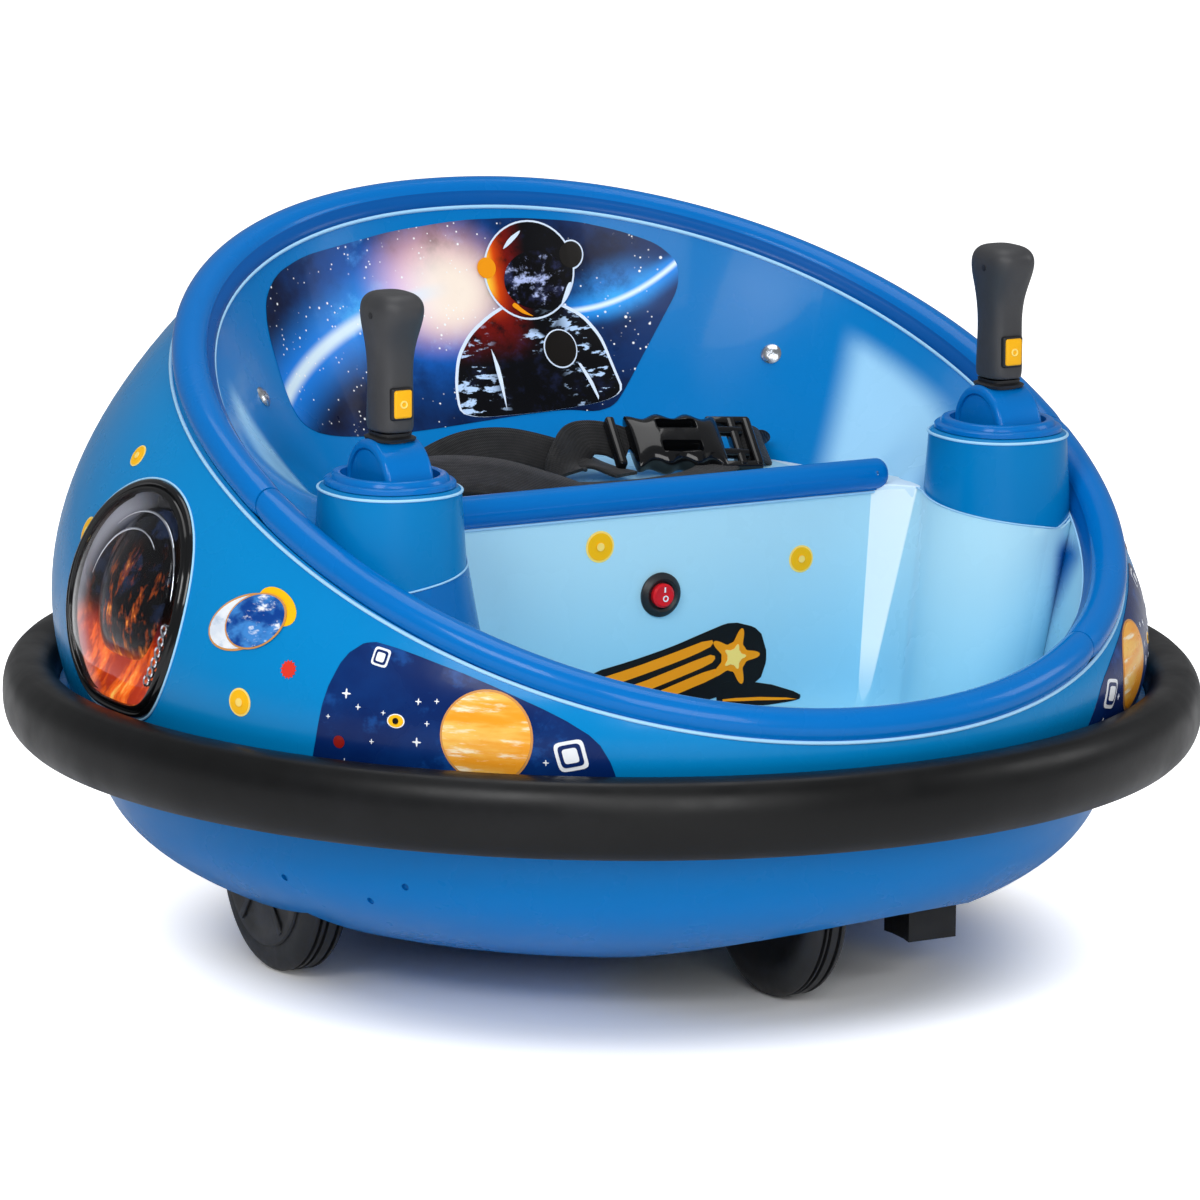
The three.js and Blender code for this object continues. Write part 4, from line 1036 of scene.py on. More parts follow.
def console(side, sign):
    x = sign * CONSOLE_X
    foot = DECK_FRONT_Z - 14
    tall = CONSOLE_Z - foot

    def oval(z, inset=0.0):
        flare = CONSOLE_FLARE * (CONSOLE_Z - z) / tall
        return superoval(x, CONSOLE_Y, CONSOLE_HALF_X + flare - inset, CONSOLE_HALF_Y + flare - inset,
                         z, 96, 2.25)

    # outside from the foot up, over a soft top edge, then down the inside
    rows = [oval(foot + (tall - 3) * i / 14) for i in range(15)]
    rows += [oval(CONSOLE_Z - 3 + 3 * math.sin(t), 3 * (1 - math.cos(t)))
             for t in np.linspace(0, math.pi / 2, 6)[1:]]
    rows += [oval(CONSOLE_Z, 8), oval(CONSOLE_Z - 4, 8.5), oval(foot, 8.5)]
    shell = loft(f"console_shell_{side}", rows, CONSOLE)
    slot = box("cutter", (x - ROCKER_HALF - 0.6, CONSOLE_Y - ROCKER_RADIUS - 1.2, CONSOLE_Z - 20),
               (x + ROCKER_HALF + 0.6, CONSOLE_Y + ROCKER_RADIUS + 1.2, CONSOLE_Z + 40))
    cut(shell, slot)
    place(shell, "car", "console_blue", f"console_{side}")
    # a pale line round the console's top edge: partly piping and partly painted highlight
    edge = [p + vec(0, 0, 0.4) for p in oval(CONSOLE_Z - 2.6, -0.2)]
    edge_bead(f"console_line_{side}", edge, 0.9, PIPING_AND_HIGHLIGHT, slot="console_blue")

    def step(z, inset):
        return superoval(x, CONSOLE_Y, CONSOLE_HALF_X - inset, CONSOLE_HALF_Y - inset, z, 96, 2.25)

    base = CONSOLE_Z + GAP
    middle, top = CONSOLE_Z + BEZEL_TALL * 0.5, CONSOLE_Z + BEZEL_TALL
    rows = [step(base, BEZEL_INSET), step(middle - 1, BEZEL_INSET), step(middle, BEZEL_INSET + 1),
            step(middle + 0.2, BEZEL_INSET + 3.4), step(top - 1.6, BEZEL_INSET + 4),
            step(top - 0.4, BEZEL_INSET + 5), step(top, BEZEL_INSET + 7), step(top - 0.6, BEZEL_INSET + 9),
            step(base, BEZEL_INSET + 10)]
    bezel = loft(f"joystick_collar_{side}", rows, ROYAL, sharp_degrees=45)
    place(bezel, "car", "trim_royal", f"joystick_bezel_{side}")
    joystick(side, x)


def joystick(side, x):
    body = f"joystick_{side}"
    pivot = Vector((x, CONSOLE_Y, ROCKER_Z)) * MM
    here = Matrix.Translation(pivot)

    # rocker: a drum with a raised arc and a softly domed cheek on each side
    drum = rounded_drum(ROCKER_HALF, ROCKER_RADIUS, 3.0)
    for sign in (-1, 1):
        hollow = turned("cutter", [(ROCKER_HALF - 1.6, 0), (ROCKER_HALF - 1.6, ROCKER_RADIUS - 5.4),
                                   (ROCKER_HALF + 2, ROCKER_RADIUS - 4.6), (ROCKER_HALF + 2, 0)],
                        None, "X", 64)
        if sign < 0:
            hollow.data.transform(Matrix.Rotation(math.pi, 4, "Z"))
        cut(drum, hollow)
    drum = cut(drum, box("cutter", (-60, -60, -60), (60, 60, -13)))
    place(moved(drum, here), body, "trim_royal", f"joystick_rocker_{side}")
    for sign, end in ((-1, "a"), (1, "b")):
        dome = turned(f"rocker_cheek_{side}_{end}",
                      [(0, 0), (0, ROCKER_RADIUS - 6.2), (0.6, ROCKER_RADIUS - 6.6), (1.2, 14), (1.5, 0)],
                      ROYAL, "X", 64)
        cut(dome, box("cutter", (-60, -60, -60), (60, 60, -13)))
        spin = Matrix.Rotation(0 if sign > 0 else math.pi, 4, "Z")
        shift = Matrix.Translation(Vector((sign * (ROCKER_HALF - 1.5), 0, 0)) * MM)
        place(moved(dome, here @ shift @ spin), body, "trim_royal")

    # neck: a stepped black collar between rocker and grip
    neck_top = NECK_Z - ROCKER_Z
    rows = [superoval(0, 0, w, d, z, 64, 4.0) for z, w, d in (
        (12, 9, 10), (25.5, 9, 10.5), (26, 12.5, 13), (27.6, 13, 13.6), (28.2, 12.2, 12.6),
        (28.6, 10.2, 11.4), (neck_top - 0.4, 10.6, 11.8))]
    neck = loft(f"neck_{side}", rows, BLACK_MATT, wrap=False, caps=True, sharp_degrees=40)
    place(moved(neck, here), body, "neck_black", f"joystick_neck_{side}")

    # grip: a rubber club, straight below and swelling forwards and back at its head
    table = ((0, 0.86, 0.88, 0), (0.012, 0.96, 0.96, 0), (0.06, 1, 1, 0), (0.2, 0.99, 0.96, 0),
             (0.35, 0.97, 0.92, 0), (0.48, 0.98, 0.92, 0.3), (0.6, 1.06, 1.0, 0.2), (0.7, 1.18, 1.16, -0.6),
             (0.78, 1.28, 1.32, -1.2), (0.86, 1.33, 1.42, -2), (0.93, 1.27, 1.38, -2.4),
             (0.98, 1.0, 1.1, -2.5), (1, 0.6, 0.68, -2.5))
    rows = []
    for share, wide, deep, lean in table:
        rows.append([vec(spow(math.cos(t), 0.7) * GRIP_HALF_X * wide,
                         spow(math.sin(t), 0.7) * GRIP_HALF_Y * deep + lean, neck_top + GRIP_TALL * share)
                     for t in np.linspace(0, TAU, 32, endpoint=False)])
    grip = loft(f"grip_{side}", rows, GRIP, wrap=False, caps=True, sharp_degrees=75)
    apply(grip, "SUBSURF", levels=2, render_levels=2)
    shade(grip.data, 70)
    place(moved(grip, here), body, "grip_grey", f"joystick_grip_{side}")
    hole = turned(f"grip_screw_{side}", [(-0.8, 0), (-0.8, 2.0), (0.25, 1.9), (0.25, 0)], BLACK_MATT,
                  "X", 24, (0, 0, 0))
    hole.data.transform(Matrix.Translation(Vector((-GRIP_HALF_X * 1.3, -5, neck_top + GRIP_TALL * 0.84)) * MM)
                        @ Matrix.Rotation(math.pi, 4, "Z"))
    place(moved(hole, here), body, "neck_black")

    # thumb button in its dark frame
    low = neck_top + 8
    for name, half, z0, z1, y0, y1, material, slot, nodes in (
            ("button_frame", 7.0, low, low + 19, -GRIP_HALF_Y - 1.2, -GRIP_HALF_Y + 3, BLACK_MATT,
             "neck_black", ()),
            ("button", 5.7, low + 1.3, low + 17.7, -GRIP_HALF_Y - 2.6, -GRIP_HALF_Y + 2, YELLOW,
             "button_yellow", (f"joystick_button_{side}",))):
        key = bevel(box(f"{name}_{side}", (-half, y0, z0), (half, y1, z1), material), 1.5, 4)
        place(moved(key, here), body, slot, *nodes)
    mark = turned(f"button_mark_{side}", [(0, 2.4), (0.5, 2.2), (0.5, 1.5), (0, 1.3)], PALE_GOLD, "Y", 32)
    mark.data.transform(Matrix.Translation(Vector((0, -GRIP_HALF_Y - 2.55, low + 9.5)) * MM)
                        @ Matrix.Rotation(math.pi, 4, "Z"))
    place(moved(mark, here), body, "button_yellow")


# ---- lights ---------------------------------------------------------------------------------
def light(side, sign, skin):
    frame = light_frame(sign)

    def on_skin(t, inset, high):
        r = light_edge(t, inset)
        u, v = r * math.cos(t), r * math.sin(t)
        w = skin.drop(frame, u * MM, v * MM)
        return frame @ Vector((u * MM, v * MM, (w or 0) + high * MM))

    # bezel: a double black bead round the opening
    profile = ((0, 0.15), (-0.3, 1.3), (0.7, 2.4), (2.0, 2.6), (3.0, 1.8), (3.7, 0.8), (4.3, 1.9),
               (5.5, 2.7), (6.9, 2.3), (7.8, 0.5), (8.2, -6), (7.1, -6), (6.8, 0.2))
    rows = []
    for i in range(160):
        t = i / 160 * TAU
        rows.append([np.array(on_skin(t, inset, high)) / MM for inset, high in profile])
    bezel = loft(f"light_surround_{side}", rows, BLACK_GLOSS, sharp_degrees=50)
    place(bezel, "car", "light_black", f"light_bezel_{side}")
    # a pale line round the bezel's outer edge: partly trim and partly painted highlight
    trim = [np.array(on_skin(t, -0.9, 0.5)) / MM for t in np.linspace(0, TAU, 160, endpoint=False)]
    edge_bead(f"light_trim_{side}", trim, 0.7, PIPING_AND_HIGHLIGHT, slot="body_blue")

    def dish(name, rim_inset, height, material, rings=22, count=120, thick=1.4, egg=1.0, shift=0.0):
        """A domed or dished shell: height(share) gives how far above the body's skin it lies."""
        verts = []
        for flip in (0, 1):
            for k in range(rings + 1):
                share = max(k, 0.02) / rings
                for i in range(count):
                    t = i / count * TAU
                    r = light_edge(t, rim_inset) * share
                    u, v = r * math.cos(t) + shift, r * math.sin(t) * egg
                    w = skin.drop(frame, u * MM, v * MM) or 0
                    verts.append((u * MM, v * MM, w + (height(share) - flip * thick) * MM))
        return sheet(name, verts, rings, count, frame, material, 60)

    lens = dish(f"light_cover_{side}", LIGHT_BEZEL + 0.3, lambda s: 1.0 + 7.5 * (1 - s**2.6), LENS)
    place(lens, "car", "lens_clear", f"light_lens_{side}")
    bowl = dish(f"light_bowl_{side}", LIGHT_BEZEL + 0.8, lambda s: -3.0 - 20 * (1 - s**3),
                bowl_paint(sign), thick=1.2)
    place(bowl, "car", "reflector_chrome", f"light_reflector_{side}")
    # a smoked inner dome and the lamp's warm tip, with open arcs of bright chrome round it, tapered like the
    # dome's highlight arcs: painted highlights made as trim
    dome = dish(f"light_dome_{side}", 25, lambda s: -8.0 + 9 * (1 - s**2), SMOKE, thick=1.0, egg=0.86,
                shift=-9)
    place(dome, "car", "lens_clear")
    front = -sign
    for index, (inset, deep, radius, low, high) in enumerate(((19, -4, 1.0, 105, 215),
                                                              (30, -1, 0.8, 150, 250),
                                                              (15, -5, 0.6, 60, 120))):
        path = [np.array(on_skin(math.radians(t) * front, inset, deep)) / MM
                for t in np.linspace(low, high, 60)]

        def taper(i, radius=radius):
            return radius * (0.25 + 0.75 * math.sin(math.pi * i / 59))
        rows = tube_rows(path, 8, taper)
        arc = loft(f"light_highlight_arc_{side}_{index}", rows, CHROME, wrap=False, caps=True, sharp_degrees=80)
        place(arc, "car", "reflector_chrome")
    # small ribs beside the lens
    for i in range(6):
        t = math.radians(52 + 7 * i) * front
        at = on_skin(t, LIGHT_BEZEL + 6, -1)
        rib = turned(f"light_rib_{side}_{i}", [(-1, 2.2), (-1, 3.7), (1.2, 3.7), (1.8, 3), (1.2, 2.2)],
                     CHROME, "Z", 24)
        place(moved(rib, Matrix.Translation(at) @ frame.to_3x3().to_4x4()), "car", "reflector_chrome")


# ---- switch and screws ----------------------------------------------------------------------
def switch():
    """The round power switch on the seat's front."""
    face = SEAT_FRONT_Y
    r = SWITCH_RADIUS
    bezel = turned("switch_ring", [(face - 0.3, 0), (face - 0.3, r), (face - 1.6, r), (face - 3.4, r - 1.6),
                                   (face - 4, r - 3.4), (face - 3.0, r * 0.62), (face - 1.6, r * 0.58),
                                   (face - 1.6, 0)], BLACK_MATT, "Y", 72, (0, 0, SWITCH_Z))
    place(bezel, "car", "switch_black", "switch_bezel")
    q = r * 0.54
    key = turned("switch_key", [(face - 1.8, 0), (face - 1.8, q), (face - 4.6, q), (face - 5.6, q - 1.2),
                                (face - 5.2, q * 0.5), (face - 5.0, 0)], RED, "Y", 64, (0, 0, SWITCH_Z))
    place(key, "car", "switch_red", "switch_rocker")
    ring = turned("switch_mark_ring", [(0, 1.9), (0.35, 1.9), (0.35, 1.2), (0, 1.2)], WHITE, "Y", 32)
    ring.data.transform(Matrix.Translation(Vector((1, face - 5.6, SWITCH_Z - 1.8)) * MM))
    place(ring, "car", "switch_red")
    bar = box("switch_mark_bar", (0.1, face - 5.6, SWITCH_Z + 2.0), (1.0, face - 5.1, SWITCH_Z + 5.2), WHITE)
    place(bar, "car", "switch_red")


def screw(name, where, out, node=()):
    """A pan-head screw with a cross recess."""
    head = turned(name, [(-1.2, 0), (-1.2, SCREW_RADIUS), (0.6, SCREW_RADIUS), (1.8, SCREW_RADIUS - 1.6),
                         (2.4, SCREW_RADIUS * 0.4), (2.5, 0)], SCREW, "Z", 48)
    for turn in (0, math.pi / 2):
        bar = box("cutter", (-2.9, -0.65, 0.7), (2.9, 0.65, 4))
        bar.data.transform(Matrix.Rotation(turn + 0.5, 4, "Z"))
        cut(head, bar)
    spin = Vector((0, 0, 1)).rotation_difference(Vector(out)).to_matrix().to_4x4()
    place(moved(head, Matrix.Translation(Vector(where) * MM) @ spin), "car", "screw_steel", *node)


# ---- wheels ---------------------------------------------------------------------------------
def wheel(name, node, body, centre, wide):
    half, r = wide / 2, WHEEL_RADIUS
    profile = [(-half + 1.5, 6.5), (-half + 1.5, r - 20), (-half, r - 18), (-half, r - 9),
               (-half + 0.8, r - 6), (-half + 2.6, r - 2.4), (-half + 5, r - 0.4), (-half + 6, r)]
    for groove in (-half + 8, -1.6, half - 8):
        profile += [(groove - 1.2, r), (groove - 0.8, r - 2.2), (groove + 0.8, r - 2.2), (groove + 1.2, r)]
    profile += [(-x, rr) for x, rr in profile[7::-1]]
    made = turned(name, profile, TYRE, "X", 128, centre, sharp_degrees=38)
    place(made, body, "wheel_black", node)


def wheels():
    for side, sign in SIDES:
        body = f"drive_{side}"
        centre = (sign * DRIVE_X, DRIVE_Y, WHEEL_RADIUS)
        wheel(f"tyre_{side}", f"drive_wheel_{side}", body, centre, WHEEL_WIDE)
        half = WHEEL_WIDE / 2
        cap = turned(f"hub_cap_{side}", [
            (half + 0.4, 0), (half + 0.4, WHEEL_RADIUS - 15), (half + 1.6, WHEEL_RADIUS - 16),
            (half + 2.0, WHEEL_RADIUS - 20), (half + 0.9, WHEEL_RADIUS - 23), (half + 1.4, 26),
            (half + 3.0, 22), (half + 3.6, 16), (half + 3.0, 12), (half + 4.2, 9), (half + 4.2, 0)],
            CAP, "X", 96, sharp_degrees=50)
        for i in range(5):
            a = i / 5 * TAU
            rib = bevel(box("rib", (half + 0.8, -2.4, 20), (half + 2.8, 2.4, WHEEL_RADIUS - 19), CAP), 0.7, 2)
            rib.data.transform(Matrix.Rotation(a, 4, "X"))
            cap = cut(cap, rib, "UNION")
        cap.name = f"hub_cap_{side}"
        turn = Matrix.Rotation(0 if sign > 0 else math.pi, 4, "Z")
        place(moved(cap, Matrix.Translation(Vector(centre) * MM) @ turn), body, "wheel_cap_black",
              f"wheel_cap_{side}")
    for end, sign in (("front", -1), ("rear", 1)):
        centre = (0, sign * CASTER_Y - CASTER_TRAIL, WHEEL_RADIUS)
        wheel(f"caster_tyre_{end}", f"caster_wheel_{end}", f"caster_roller_{end}", centre, CASTER_WIDE)


# ---- harness --------------------------------------------------------------------------------
def spline(points, count):
    """A smooth path through the points (Catmull-Rom), as (point, tangent) pairs."""
    points = [np.array(p, float) for p in points]
    points = [2 * points[0] - points[1]] + points + [2 * points[-1] - points[-2]]
    spans = len(points) - 3
    path = []
    for i in range(count + 1):
        u = i / count * spans
        k = min(int(u), spans - 1)
        t = u - k
        a, b, c, d = points[k:k + 4]
        path.append(0.5 * (2 * b + (c - a) * t + (2 * a - 5 * b + 4 * c - d) * t * t
                           + (3 * b - a - 3 * c + d) * t**3))
    return path


def webbing(name, points, across, wide=25.0, thick=1.7, count=90, *nodes):
    """A flat strap along a path; across lists the strap's width direction at each point."""
    path, ways = spline(points, count), spline(across, count)
    rows = []
    for i, p in enumerate(path):
        along = unit(path[min(i + 1, count)] - path[max(i - 1, 0)])
        side = unit(ways[i] - along * float(np.dot(ways[i], along)))
        up = np.cross(side, along)
        ring = []
        for a, b in ((-1, -0.55), (-0.97, -1), (-0.5, -1), (0, -1), (0.5, -1), (0.97, -1), (1, -0.55),
                     (1, 0.55), (0.97, 1), (0.5, 1), (0, 1), (-0.5, 1), (-0.97, 1), (-1, 0.55)):
            ring.append(p + side * a * wide / 2 + up * b * thick / 2)
        rows.append(ring)
    strap = loft(name, rows, WEBBING, wrap=False, caps=True, sharp_degrees=60)
    # the weave follows the strap: x runs across it and y along it
    layer = strap.data.uv_layers.new(name="strap")
    length = sum(np.linalg.norm(path[i + 1] - path[i]) for i in range(count))
    columns = len(rows[0])
    for polygon in strap.data.polygons:
        for loop in polygon.loop_indices:
            vertex = strap.data.loops[loop].vertex_index
            row, column = divmod(vertex, columns)
            share = (column if column <= 6 else 13 - column) / 6
            layer.data[loop].uv = (share * wide * MM, row / count * length * MM)
    return place(strap, "car", "webbing_black", *nodes)


def harness():
    z = SEAT_TOP_Z
    flat, low, lean = (0.1, 1, 0.1), (0.45, 0.86, 0.2), (0.1, 0.72, 0.68)
    # the wide strap lying low behind the left console
    webbing("wide_strap", [(-150, 24, z + 9), (-128, 18, z + 14), (-104, 9, z + 17), (-76, -4, z + 15),
                           (-56, -22, z + 9), (-48, -36, z + 5)], [low] * 6, 58, 4, 80)
    webbing("strap_main", [(-104, 50, z + 6), (-84, 58, z + 14), (-58, 62, z + 21), (-30, 62, z + 21),
                           (-4, 54, z + 14), (16, 40, z + 9), (28, 20, z + 5)],
            [flat, lean, lean, lean, lean, flat, flat], 27, 2, 110, "harness_strap")
    webbing("strap_loop", [(-10, 30, z + 6), (4, 48, z + 15), (18, 58, z + 22), (34, 56, z + 21),
                           (46, 48, z + 16)], [flat, lean, lean, lean, lean], 26, 2, 110)
    webbing("strap_under", [(-36, 4, z + 4), (0, -4, z + 3), (36, -6, z + 3), (70, 2, z + 4),
                            (98, 24, z + 5)], [flat] * 5, 23, 2, 90)
    webbing("strap_tail", [(112, 34, z + 14), (126, 36, z + 15), (139, 42, z + 9), (146, 58, z + 4),
                           (144, 84, z + 3)], [lean, lean, lean, flat, flat], 27, 2, 80)
    webbing("strap_shoulder", [(-66, 112, z + 6), (-34, 104, z + 8), (0, 92, z + 7), (30, 76, z + 5)],
            [flat] * 4, 25, 2, 80)
    webbing("strap_waist", [(-146, 66, z + 10), (-132, 50, z + 11), (-114, 34, z + 7), (-96, 20, z + 4)],
            [flat] * 4, 25, 2, 60)
    buckle(z)


def buckle(z):
    """The side-release buckle: a ribbed shell with two prongs and a slider."""
    here = Matrix.Translation(Vector((BUCKLE_X - 18, BUCKLE_Y - 44, z + 17)) * MM) @ \
        Matrix.Rotation(math.radians(-12), 4, "Z") @ Matrix.Rotation(math.radians(38), 4, "X") @ \
        Matrix.Rotation(math.radians(4), 4, "Y") @ Matrix.Scale(1.32, 4)
    half = 22.0
    rows = []
    for i in range(33):
        x = mix(-half, half, i / 32)
        wave = 1 - 0.1 * math.cos(x / half * math.pi * 3)
        crown = 7.5 * (1 - (x / half) ** 4 * 0.45)
        rows.append([vec(x, spow(math.cos(t), 0.7) * 15 * wave, spow(math.sin(t), 0.7) * crown)
                     for t in np.linspace(0, TAU, 40, endpoint=False)])
    shell = loft("buckle_shell", rows, BLACK_GLOSS, wrap=False, caps=True, sharp_degrees=60)
    for y in (-7, 7):
        window = box("cutter", (-10, y - 3.2, -20), (10, y + 3.2, 20))
        cut(shell, bevel(window, 1.2, 2))
    place(moved(bevel(shell, 0.6, 2, 50), here), "car", "buckle_black", "harness_buckle")
    for index, y in enumerate((-7, 7)):
        rows = []
        for i in range(25):
            x = mix(-6, 34, i / 24)
            rows.append([vec(x, y + 2.4 * math.cos(t), 2.6 * math.sin(t) + 1.5 * math.sin(x / 14))
                         for t in np.linspace(0, TAU, 16, endpoint=False)])
        prong = loft(f"buckle_prong_{index}", rows, BLACK_GLOSS, wrap=False, caps=True)
        place(moved(prong, here), "car", "buckle_black")
    for index, x in enumerate((30, 38, -30)):
        bar = bevel(box(f"buckle_bar_{index}", (x - 2.2, -15, -3), (x + 2.2, 15, 3.4), BLACK_GLOSS), 1.4, 3)
        place(moved(bar, here), "car", "buckle_black")
    for index, y in enumerate((-14, 14)):
        rail = bevel(box(f"buckle_rail_{index}", (18, y - 2, -2.6), (40, y + 2, 2.8), BLACK_GLOSS), 1.2, 3)
        place(moved(rail, here), "car", "buckle_black")


# ---- prints ---------------------------------------------------------------------------------
def flat_frame(origin, across, out):
    """A frame at a point in mm, x across and z out of the surface."""
    z = Vector(out).normalized()
    x = (Vector(across) - z * Vector(across).dot(z)).normalized()
    y = z.cross(x)
    turn = Matrix((x, y, z)).transposed().to_4x4()
    return Matrix.Translation(Vector(origin) * MM) @ turn


def polygon_radius(points):
    """The radius of a many-sided outline round the origin, for drape."""
    def radius(t):
        direction = np.array((math.cos(t), math.sin(t)))
        best = None
        for (x0, y0), (x1, y1) in zip(points, points[1:] + points[:1]):
            edge = np.array((x1 - x0, y1 - y0))
            cross = direction[0] * edge[1] - direction[1] * edge[0]
            if abs(cross) < 1e-9:
                continue
            reach = (x0 * edge[1] - y0 * edge[0]) / cross
            along = (x0 * direction[1] - y0 * direction[0]) / cross
            if reach > 0 and -1e-6 <= along <= 1 + 1e-6 and (best is None or reach < best):
                best = reach
        return best or 1.0
    return radius


def softened(points, rounds=2):
    """A many-sided outline with its corners cut twice over (Chaikin)."""
    for _ in range(rounds):
        points = [q for (x0, y0), (x1, y1) in zip(points, points[1:] + points[:1])
                  for q in ((0.8 * x0 + 0.2 * x1, 0.8 * y0 + 0.2 * y1),
                            (0.2 * x0 + 0.8 * x1, 0.2 * y0 + 0.8 * y1))]
    return points


def printed(name, skin, frame, points, colour, lift, slot, rings, count, rounds):
    """A printed patch with a many-sided outline whose corners are softened."""
    points = softened(points, rounds)
    mid = np.mean(np.array(points), axis=0)
    local = [(x - mid[0], y - mid[1]) for x, y in points]
    patch = drape(name, skin, frame, polygon_radius(local), colour, lift, rings, count, tuple(mid))
    place(patch, "car", slot)


def star_radius(big, small, tips):
    return lambda t: mix(small, big, abs(math.cos(t * tips / 2)) ** 6)


def spot(name, skin, frame, at, radius, material, lift=0.35, rim=None, slot="body_blue", squash=1.0,
         tilt=0.0):
    """A round or oval printed dot, with a thin rim of its own colour when one is given."""
    def oval(r):
        return lambda t: r / math.hypot(math.cos(t - tilt), math.sin(t - tilt) / squash)
    if rim:
        place(drape(f"{name}_rim", skin, frame, oval(radius), rim, lift, 4, 48, at), "car", slot)
    inner = radius - (min(0.14 * radius, 1.3) if rim else 0)
    dot = drape(name, skin, frame, oval(inner), material, lift + 0.3 if rim else lift, 5, 48, at)
    place(dot, "car", slot)


def planet_paint(name, low, high, cloud, scale=(25, 90), soft=(0.4, 0.62)):
    """Bands of two colours with paler clouds between them."""
    p = moulded(name, low, 0.25)
    stretch = p.add("ShaderNodeMapping", {"Vector": p.coords})
    stretch.inputs["Scale"].default_value = (scale[0], scale[1], 30)
    bands = p.noise(1.0, 4, 0.6, stretch.outputs["Vector"])
    colour = p.blend(p.ramp(bands, *soft), low, high)
    stretch2 = p.add("ShaderNodeMapping", {"Vector": p.coords})
    stretch2.inputs["Scale"].default_value = (scale[0] * 1.6, scale[1] * 1.9, 30)
    stretch2.inputs["Location"].default_value = (3, 1, 2)
    wisps = p.ramp(p.noise(1.0, 5, 0.65, stretch2.outputs["Vector"]), 0.53, 0.66)
    p.vary(p.blend(wisps, colour, cloud), 0.05)
    return p.material


def space_paint():
    """A starry sky: a warm glow in its middle, a pale beam low on its left and a bright arc on its right."""
    p = moulded("print_space", "#04163f", 0.3, coat=0.05, level=0.12)
    x, y, _ = p.axes()

    def about(cx, cy, wide, tall):
        dx = p.over(p.minus(x, cx * MM), wide * MM)
        dy = p.over(p.minus(y, cy * MM), tall * MM)
        return p.math("SQRT", p.plus(p.times(dx, dx), p.times(dy, dy)))

    wisps = p.noise(28, 8, 0.68)
    clouds = p.noise(11, 7, 0.62)
    halo = p.ramp(about(-22, 14, 118, 74), 1.0, 0.15)
    blue = p.math("MULTIPLY", p.ramp(clouds, 0.36, 0.64), p.plus(halo, 0.2), clamp=True)
    sky = p.blend(blue, "#020a2a", "#0f63c4")
    sky = p.blend(p.times(p.ramp(wisps, 0.52, 0.68), halo), sky, "#4fa4f0")
    right_glow = p.ramp(about(104, 6, 42, 24), 1.0, 0.0)
    sky = p.blend(p.times(right_glow, p.ramp(wisps, 0.3, 0.6)), sky, "#2f8fe6")
    warm = p.ramp(about(-14, 24, 62, 50), 1.0, 0.3)
    sky = p.blend(p.times(warm, p.ramp(clouds, 0.25, 0.5)), sky, "#e9b3b8")
    sky = p.blend(p.ramp(about(-6, 20, 46, 38), 1.0, 0.25), sky, "#ffeedd")
    # the beam: a bowed bright edge with a blue haze below it
    bow = p.minus(about(20, -190, 224, 214), 1.0)
    left = p.ramp(x, 0.0, -0.05)
    haze = p.times(p.ramp(p.math("ABSOLUTE", bow), 0.16, 0.0), left)
    sky = p.blend(haze, sky, "#1583e8", "SCREEN")
    sky = p.blend(p.times(p.ramp(p.math("ABSOLUTE", bow), 0.032, 0.004), left), sky, "#dff3ff")
    # the bright edge of a far planet
    arc = p.math("ABSOLUTE", p.minus(about(88, 90, 104, 92), 1.0))
    right = p.times(p.ramp(x, 0.06, 0.085), p.ramp(y, 0.02, 0.012))
    sky = p.blend(p.times(p.ramp(arc, 0.14, 0.0), right), sky, "#1f8df0", "SCREEN")
    sky = p.blend(p.times(p.ramp(arc, 0.03, 0.0), right), sky, "#e6f8ff")
    # stars
    for scale, size in ((230, 0.14), (120, 0.10), (60, 0.06)):
        stars = p.add("ShaderNodeTexVoronoi", {"Vector": p.coords})
        stars.inputs["Scale"].default_value = scale
        stars.inputs["Randomness"].default_value = 1.0
        dots = p.ramp(stars.outputs["Distance"], size * 1.25, size * 0.6)
        keep = p.ramp(p.noise(scale * 0.21, 2), 0.46, 0.54)
        sky = p.blend(p.times(dots, keep), sky, "#ffffff")
    p.vary(sky, 0.02)
    return p.material


def suit_paint():
    """A near-black space suit: pale creases on its arms, warm light on its left shoulder and helmet."""
    p = moulded("print_suit", "#05060c", 0.3, coat=0.05, level=0.12)
    x, y, _ = p.axes()
    folds = p.noise(70, 6, 0.7)
    stretch = p.add("ShaderNodeMapping", {"Vector": p.coords})
    stretch.inputs["Scale"].default_value = (75, 210, 30)
    stretch.inputs["Rotation"].default_value = (0, 0, 0.35)
    crease = p.ramp(p.noise(1.0, 5, 0.6, stretch.outputs["Vector"]), 0.56, 0.61)
    patch = p.ramp(p.noise(26, 3), 0.54, 0.62)
    colour = p.blend(p.ramp(folds, 0.5, 0.7), "#04050a", "#141a33")
    arms = p.math("MAXIMUM", p.ramp(x, 0.022, 0.006), p.ramp(x, 0.058, 0.074))
    low = p.ramp(y, 0.006, -0.006)
    colour = p.blend(p.times(p.times(crease, low), p.math("MAXIMUM", arms, patch)), colour,
                     "#bcd8fb")
    hot = p.times(p.ramp(x, 0.052, 0.028), p.ramp(y, -0.03, 0.014))
    colour = p.blend(p.times(hot, p.ramp(folds, 0.3, 0.52)), colour, "#8d1407")
    colour = p.blend(p.times(p.ramp(x, 0.038, 0.022), p.ramp(y, -0.004, 0.02)), colour, "#ff5a0a")
    colour = p.blend(p.times(p.ramp(x, 0.03, 0.021), p.ramp(y, 0.004, 0.022)), colour, "#ffd23c")
    p.vary(colour, 0.05)
    return p.material


